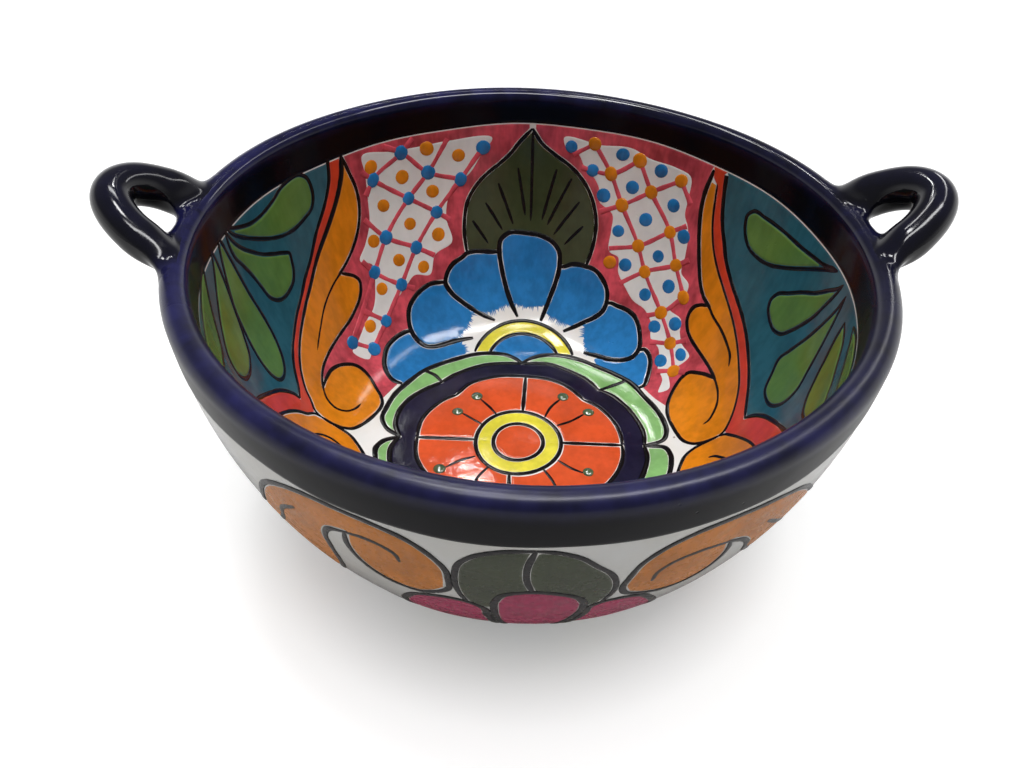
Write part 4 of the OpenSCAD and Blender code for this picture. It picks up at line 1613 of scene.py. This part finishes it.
# Each lattice with its scroll, its stretch below the band, the leaf's edge, and the petals and the
# stretch of border below it
LATTICES = [
    (LATTICE_LEFT, SCROLL_LEFT, (-46.8, -0.6), LEAF_LEFT,
     [PETAL_L1_OUT, PETAL_L2_TOP, PETAL_L3_TOP, [(-60, 71), (-67, 71.5), (-73.5, 72.4)]]),
    (LATTICE_RIGHT, SCROLL_RIGHT, (45.2, 1.0), LEAF_RIGHT,
     [PETAL_R1_OUT, PETAL_R2_TOP, PETAL_R3_TOP, [(57.5, 72.5), (66, 73.5), (73.4, 76.7)]])]


class LatticeBuilder(bpy.types.Operator):
    """Paints the rose lattices between leaf and scroll, with their raised dots"""
    bl_idname = "bowl.lattices"
    bl_label = "Rose lattices"

    def execute(self, context):
        section, sizes, colours = at_hand(context)
        line, fine = sizes.line / MM, sizes.fine_line / MM
        rose, white, lines, orange, blue = Coat(), Coat(), Lines(), Dots(), Dots()
        walls = fields(section)
        for wall in (walls["back"], walls["front"]):
            dots = [(orange, blue), (blue, orange)]
            for (lattice, scroll, top, leaf, below), (in_cells, at_crossings) in zip(LATTICES, dots):
                side = [Run(scroll[part][::-1], gap=0.35 * line) for part in ("ball", "bud", "spine")]
                rose.lay(wall, under_band(wall, *top), Run(leaf, gap=fine / 2 + 0.2), *below, *side,
                         gap=line / 2, thick=0.625)
                white.lay(wall, lattice["field"], base=0.06)
                for run in lattice["lines"]:
                    lines.draw(wall, run, sizes.lattice / MM, lift=OVER_LIFT, taper=(1.15, 1.15))
                in_cells.drop(wall, lattice["cells"], sizes.dot / MM, lift=0.1)
                at_crossings.drop(wall, lattice["crossings"], sizes.dot / MM, lift=0.2)
        wash = glaze("rose_glaze", colours.rose, deep=0.7, light=1.5, streak=0.6, cloud=75.0)
        paint("lattice_wash", rose, wash)
        paint("lattice_fields", white, glaze("lattice_white", colours.white, deep=0.9, light=1.0, thin=0.0))
        ink("lattice_lines", lines, plain_glaze("rose_line", colours.rose, 0.95, 1.5))
        warm = plain_glaze("dot_orange", colours.orange, 0.75, 1.15, ior=1.42)
        dab("lattice_dots_orange", orange, warm, 0.13, 5)
        dab("lattice_dots_blue", blue, plain_glaze("dot_blue", colours.blue, 0.7, 1.2, ior=1.42), 0.13, 9)
        return {"FINISHED"}


# The outside flowers in degrees from their axis and millimetres below the lip
OUT_VEIN = [(0.6, 14.8), (-0.2, 24), (-0.1, 33), (0.8, 41.3)]
OUT_LEAVES = [
    ([(0.6, 14.8), (-3.9, 16.5), (-6.7, 20), (-8.6, 25.5), (-9.3, 33), (-9.4, 41), (-9, 49), (-8.2, 55.5)],
     [(-8.2, 55.5), (-6.2, 60), (-4.4, 60), (-4.2, 52), (-3, 45), (0.8, 41.3)]),
    ([(0.6, 14.8), (3.3, 15.7), (6.1, 19), (8.3, 24.5), (10.6, 31), (11.7, 38), (11.9, 45.5), (11, 54.5)],
     [(11, 54.5), (9.9, 57.5), (8.7, 58), (8.3, 53), (7.2, 47.7), (5, 43.8), (0.8, 41.3)])]
OUT_SCROLL_LEFT = {
    "outer": [(-10.6, 46), (-10.3, 38), (-10.4, 32), (-12.2, 24), (-15, 18.3), (-19, 15.4), (-24, 14.4),
              (-29, 14.9), (-33.3, 18), (-36.7, 23), (-39, 29.5), (-40.8, 37), (-43, 46), (-46.2, 54.8),
              (-51, 63), (-55.6, 69.5), (-58.5, 77), (-60.8, 85), (-62.3, 93), (-62.5, 103), (-60, 112),
              (-55, 118), (-49.5, 119), (-45, 115), (-43.5, 109), (-46, 103.5)],
    "inner": [(-46, 103.5), (-42.5, 101), (-39.5, 96), (-35.6, 87), (-32.2, 76), (-30, 66), (-28.8, 55),
              (-28.4, 44), (-28, 35), (-26.7, 29.5), (-24, 26.6)],
    "ball": [(-24, 26.6), (-24.4, 34.5), (-23.5, 43.5), (-21.7, 50), (-19, 54.3), (-15.6, 55.5),
             (-12.8, 52), (-10.6, 46)],
    "crook": [(-24, 26.6), (-21, 25.2), (-18.9, 26), (-17, 29), (-16.6, 33.5)],
    "vein": [(-32.2, 27.5), (-35.6, 34.5), (-38.3, 46.5), (-40.6, 54.5), (-45, 65.5), (-51, 77.5),
             (-55, 87.5), (-56.5, 98)],
    "curl": [(-46, 103.5), (-50, 103), (-53, 106), (-52.5, 110), (-50, 111.5)],
}
OUT_SCROLL_RIGHT = {
    "outer": [(14, 49), (13, 43), (13.3, 36), (14.4, 26.5), (16.7, 20.3), (20, 16.4), (24.4, 14.9),
              (29.4, 15.2), (34, 16.8), (37.8, 19.7), (40.6, 24), (43.3, 30), (46.7, 38.2), (50.6, 47.3),
              (53.9, 56.5), (56, 65.5), (57.2, 74.5), (58.3, 84), (59, 93), (58.8, 103), (56.5, 112),
              (52, 118), (46.5, 119), (42, 115), (40.5, 109), (43, 103.5)],
    "inner": [(43, 103.5), (47.5, 101), (49.3, 96), (49, 89), (47.5, 82), (45, 75.5), (41, 67.5),
              (37.2, 58), (34.4, 51), (32.8, 42), (30.5, 35.5), (27.6, 31)],
    "ball": [(27.6, 31), (28.3, 38), (28.1, 44), (27, 50), (24, 55.2), (20, 55.7), (16.8, 53), (14, 49)],
    "crook": [(27.6, 31), (25, 29.5), (22.2, 29), (19, 31), (17.3, 35.5), (17.1, 42.5)],
    "vein": [(33.9, 30), (39.4, 42), (44.4, 52.8), (48.3, 63.6), (50.5, 72), (52.8, 84), (54, 96)],
    "curl": [(43, 103.5), (47, 103), (50, 106), (49.5, 110), (47, 111.5)],
}
OUT_PETALS = [
    [(-2.5, 104), (-3.4, 92), (-4, 80), (-4.4, 62), (-4.2, 52), (-3, 45), (0.8, 41.3), (5, 43.8),
     (7.2, 47.7), (8.3, 53), (8.6, 60), (8, 75), (7, 92), (6, 104)],
    [(-18.5, 110), (-20.8, 98), (-20.6, 84), (-18.6, 69.5), (-16.5, 61.5), (-13.5, 56.8), (-10.5, 55),
     (-8, 56.4), (-6.2, 60.5), (-5.6, 72), (-5, 88), (-4.2, 104)],
    [(7.8, 104), (8.8, 88), (9.6, 69), (10, 58), (11.6, 54.7), (13.5, 54), (17, 56), (19.4, 63), (21.7, 73),
     (23.6, 86), (23.5, 98), (21.5, 110)],
    [(-28, 122), (-31, 112), (-30, 103), (-26.5, 97.5), (-22.8, 99), (-21, 106), (-20, 114)],
    [(23, 114), (24, 106), (26, 99), (29.5, 97.5), (33, 103), (34, 112), (31, 122)],
]
# Where the half ring under the petals stands, and the half width and height of its arch and its hole
OUT_BASE = 128
OUT_ARCH = (27, 17)
OUT_HOLE = (17, 10)
# The dark line above the foot
OUT_FOOT_LINE = 131.0


def half_ring(half_width, height, count):
    """Points over half an ellipse, from its left to its right."""
    return [(u, OUT_BASE - height * np.sqrt(max(0.0, 1 - (u / half_width) ** 2)))
            for u in np.linspace(-half_width, half_width, count)]


class OutsideBuilder(bpy.types.Operator):
    """Paints the outside: a pink flower with a dark leaf and two scrolls on each face"""
    bl_idname = "bowl.outside"
    bl_label = "Outside flowers"

    def execute(self, context):
        section, sizes, colours = at_hand(context)
        line, fine = sizes.line / MM, sizes.fine_line / MM
        gap = line / 2 + sizes.halo / MM
        leaf, pink, orange, yellow, blue, lines = Coat(), Coat(), Coat(), Coat(), Coat(), Lines()
        for axis in OUTSIDE_AXES:
            wall = WallField(section, lambda u, axis=axis: axis + u, section.lip_out)
            for edge, foot in OUT_LEAVES:
                leaf.lay(wall, edge, foot, OUT_VEIN[::-1], gap=fine / 2 + sizes.halo / MM)
                lines.draw(wall, edge, fine)
            lines.draw(wall, OUT_VEIN, fine)
            for number, petal in enumerate(OUT_PETALS):
                pink.lay(wall, petal[1:-1], Run([petal[-2], petal[1]], gap=0.0, ragged=2.5), gap=gap,
                         seed=31 + number)
                lines.draw(wall, petal, line)
            for scroll in (OUT_SCROLL_LEFT, OUT_SCROLL_RIGHT):
                orange.lay(wall, scroll["outer"], scroll["inner"], scroll["ball"], gap=gap)
                for part in ("inner", "crook", "curl"):
                    lines.draw(wall, scroll[part], fine * 1.1)
                lines.draw(wall, scroll["ball"] + scroll["outer"][1:], fine * 1.1)
                lines.draw(wall, scroll["vein"], fine, lift=OVER_LIFT)
            arch, hole = half_ring(*OUT_ARCH, 23), half_ring(*OUT_HOLE, 19)[::-1]
            yellow.lay(wall, arch, [arch[-1], hole[0]], hole, [hole[-1], arch[0]], gap=gap * 0.8)
            blue.lay(wall, hole, [hole[-1], hole[0]], gap=gap)
            lines.draw(wall, arch, line)
            lines.draw(wall, hole, fine)
        foot = WallField(section, lambda u: u, section.lip_out)
        for start in (0, 180):
            half = [(start + u, OUT_FOOT_LINE) for u in np.linspace(0, 180, 45)]
            lines.draw(foot, half, line * 1.2, taper=(1, 1))
        worn = {"gloss": (0.22, 0.34), "ior": 1.3}
        paint("outside_leaf", leaf, glaze("outside_olive", colours.olive, **worn))
        paint("outside_petals", pink, glaze("pink_glaze", colours.pink, **worn))
        paint("outside_scrolls", orange, glaze("outside_orange", colours.orange, **worn))
        paint("outside_rings", yellow, glaze("yellow_glaze", colours.yellow))
        paint("outside_hearts", blue, glaze("blue_glaze", colours.blue))
        ink("outside_lines", lines, plain_glaze("outside_black", colours.black, **worn))
        return {"FINISHED"}


# The floor in metres: half its width, the distances from the bowl's axis between which its glow sets in,
# for the camera and in mirrored views, which leaves a painted shadow round the bowl, and those between
# which it turns white
FLOOR_HALF = 12.0
PAINTED_SHADOW_SEEN = (0.05, 0.13)
PAINTED_SHADOW_MIRRORED = (0.15, 0.32)
FLOOR_WHITE = (0.5, 2.5)
WHITE = (1.0, 1.0, 1.0, 1.0)


def ray_kinds(tree):
    """Outputs that are 1 for rays straight to the camera, and for those mirrored or bent on the way."""
    path = add(tree, "ShaderNodeLightPath").outputs
    return path["Is Camera Ray"], maths(tree, "MAXIMUM", path["Is Glossy Ray"], path["Is Transmission Ray"])


class StageBuilder(bpy.types.Operator):
    """Sets the pale floor, the soft lamps and the camera"""
    bl_idname = "bowl.stage"
    bl_label = "Stage"

    def execute(self, context):
        scene = context.scene
        scene.view_settings.view_transform = "Standard"
        self.lay_floor(scene, scene.stage_settings)
        self.light_room(scene, scene.stage_settings)
        self.hang_lamps(scene, scene.stage_settings)
        self.place_camera(scene, scene.stage_settings)
        return {"FINISHED"}

    def lay_floor(self, scene, stage):
        """A pale floor that shows the bowl's shadow, with its glow left out near the bowl as painted
        shadow, and is white farther off.
        """
        mesh = bpy.data.meshes.new("floor")
        wide = FLOOR_HALF
        mesh.from_pydata([(-wide, -wide, 0), (wide, -wide, 0), (wide, wide, 0), (-wide, wide, 0)], [],
                         [(0, 1, 2, 3)])
        floor = bpy.data.objects.new("floor", mesh)
        scene.collection.objects.link(floor)
        material, tree, shader, where = new_material("pale_floor")
        tone = ranged(tree, noise(tree, where, 3.0, 2.0), 0.3, 0.7)
        tree.links.new(mixed(tree, tone, (0.62, 0.62, 0.62, 1.0), (0.64, 0.64, 0.64, 1.0)),
                       shader.inputs["Base Color"])
        shader.inputs["Roughness"].default_value = 0.9
        shader.inputs["Specular IOR Level"].default_value = 0.0
        shader.inputs["Emission Color"].default_value = WHITE
        away = add(tree, "ShaderNodeVectorMath", {0: where}, operation="LENGTH").outputs["Value"]
        far = ranged(tree, away, *FLOOR_WHITE, 0.0, 1.0 - stage.glow)
        lifts = []
        # Near the bowl the glow is left out: a painted shadow for the camera, and a wider one in mirrored
        # views
        for ray, reach in zip(ray_kinds(tree), (PAINTED_SHADOW_SEEN, PAINTED_SHADOW_MIRRORED)):
            lift = maths(tree, "ADD", ranged(tree, away, *reach, 0.0, stage.glow), far)
            lifts.append(maths(tree, "MULTIPLY", ray, lift))
        tree.links.new(maths(tree, "ADD", *lifts), shader.inputs["Emission Strength"])
        mesh.materials.append(material)

    def light_room(self, scene, stage):
        """A pale room, darker overhead and at the front, that the camera sees as white."""
        world = bpy.data.worlds.new("pale_room")
        world.use_nodes = True
        scene.world = world
        tree = world.node_tree
        room = tree.nodes["Background"]
        room.inputs["Color"].default_value = WHITE
        way = add(tree, "ShaderNodeTexCoord").outputs["Generated"]
        way = add(tree, "ShaderNodeSeparateXYZ", {"Vector": way}).outputs
        gloom = ranged(tree, way["Z"], 0.15, 0.40, stage.horizon, stage.zenith)
        gloom = maths(tree, "MULTIPLY", gloom, ranged(tree, way["Y"], -0.8, -0.1, 0.25, 1.0))
        seen, mirrored_in = ray_kinds(tree)
        least = maths(tree, "MAXIMUM", seen, maths(tree, "MULTIPLY", mirrored_in, stage.zenith))
        tree.links.new(maths(tree, "MAXIMUM", gloom, least), room.inputs["Strength"])

    def hang_lamps(self, scene, stage):
        """The lamps, all aimed at the middle of the bowl."""
        middle = Vector((0.0, 0.0, scene.bowl_sizes.bowl_h * 0.6))
        # Turn, rise and lean are in degrees, and distance, width and height in metres
        for name, watts, turn, rise, away, wide, tall, lean in (
                ("key_lamp", stage.key_power, -60, 82, 1.5, 0.8, 0.8, 0),
                ("top_lamp", stage.top_power, 137, 81, 1.2, 0.16, 0.26, -21),
                ("tube_lamp", stage.tube_power, 35, 42, 1.2, 0.08, 1.0, 42),
                ("strip_lamp", stage.strip_power, -35, 76, 1.2, 0.16, 1.0, 55),
                ("window_lamp", stage.window_power, 101, 60, 1.2, 0.36, 0.11, 0),
                ("back_lamp", stage.back_power, 92, 50, 1.2, 0.05, 0.05, 0),
                ("glint_lamp", stage.glint_power, 82, 43.5, 1.2, 0.06, 0.04, 0)):
            lamp = bpy.data.lights.new(name, "AREA")
            lamp.shape = "RECTANGLE"
            lamp.size, lamp.size_y = wide, tall
            lamp.energy = watts
            a, b = np.radians(turn), np.radians(rise)
            holder = bpy.data.objects.new(name, lamp)
            way = Vector((np.cos(a) * np.cos(b), np.sin(a) * np.cos(b), np.sin(b)))
            holder.location = middle + away * way
            aim = (-way).to_track_quat("-Z", "Y").to_matrix() @ Matrix.Rotation(np.radians(lean), 3, "Z")
            holder.rotation_euler = aim.to_euler()
            holder.visible_glossy = name != "key_lamp"
            holder.visible_diffuse = name not in ("tube_lamp", "strip_lamp")
            scene.collection.objects.link(holder)

    def place_camera(self, scene, stage):
        """The camera, which leans a little and looks down into the bowl."""
        turn, rise = np.radians(stage.turn), np.radians(stage.elevation)
        pan, pitch, roll = (np.radians(v) for v in (stage.pan, stage.pitch, stage.roll))
        spot = stage.distance * Vector((0.0, -np.cos(rise), np.sin(rise)))
        spot.rotate(Matrix.Rotation(turn, 3, "Z"))
        spot.z += scene.bowl_sizes.bowl_h
        level = Matrix.Rotation(turn - pan, 4, "Z")
        aim = level @ Matrix.Rotation(np.pi / 2 - pitch, 4, "X") @ Matrix.Rotation(roll, 4, "Z")
        lens = bpy.data.cameras.new("camera")
        lens.lens, lens.sensor_width, lens.sensor_fit = stage.lens, 36.0, "HORIZONTAL"
        lens.clip_start = 0.01
        camera = bpy.data.objects.new("camera", lens)
        camera.matrix_world = Matrix.Translation(spot) @ aim
        scene.collection.objects.link(camera)
        scene.camera = camera


class BowlPanel(bpy.types.Panel):
    """The bowl's settings and builders"""
    bl_idname = "VIEW3D_PT_painted_bowl"
    bl_label = "Painted bowl"
    bl_space_type = "VIEW_3D"
    bl_region_type = "UI"
    bl_category = "Bowl"

    def draw(self, context):
        for operator in BUILDERS:
            self.layout.operator(operator.bl_idname)
        for settings in GROUPS:
            box = self.layout.box()
            held = getattr(context.scene, settings)
            for name in held.__annotations__:
                box.prop(held, name)


BUILDERS = (BodyBuilder, BandBuilder, HandleBuilder, MedallionBuilder, FlowerBuilder, ScrollBuilder,
            PanelBuilder, LatticeBuilder, OutsideBuilder, StageBuilder)
GROUPS = {"bowl_sizes": BowlSizes, "paint_sizes": PaintSizes, "glaze_colours": GlazeColours,
          "stage_settings": StageSettings}


def register():
    for kind in (*GROUPS.values(), *BUILDERS, BowlPanel):
        bpy.utils.register_class(kind)
    for name, kind in GROUPS.items():
        setattr(bpy.types.Scene, name, PointerProperty(type=kind))


def unregister():
    for name in GROUPS:
        delattr(bpy.types.Scene, name)
    for kind in reversed((*GROUPS.values(), *BUILDERS, BowlPanel)):
        bpy.utils.unregister_class(kind)


def main():
    register()
    bpy.ops.bowl.body()
    bpy.ops.bowl.band()
    bpy.ops.bowl.handles()
    bpy.ops.bowl.medallion()
    bpy.ops.bowl.flowers()
    bpy.ops.bowl.scrolls()
    bpy.ops.bowl.panels()
    bpy.ops.bowl.lattices()
    bpy.ops.bowl.outside()
    bpy.ops.bowl.stage()


if __name__ == "__main__":
    main()
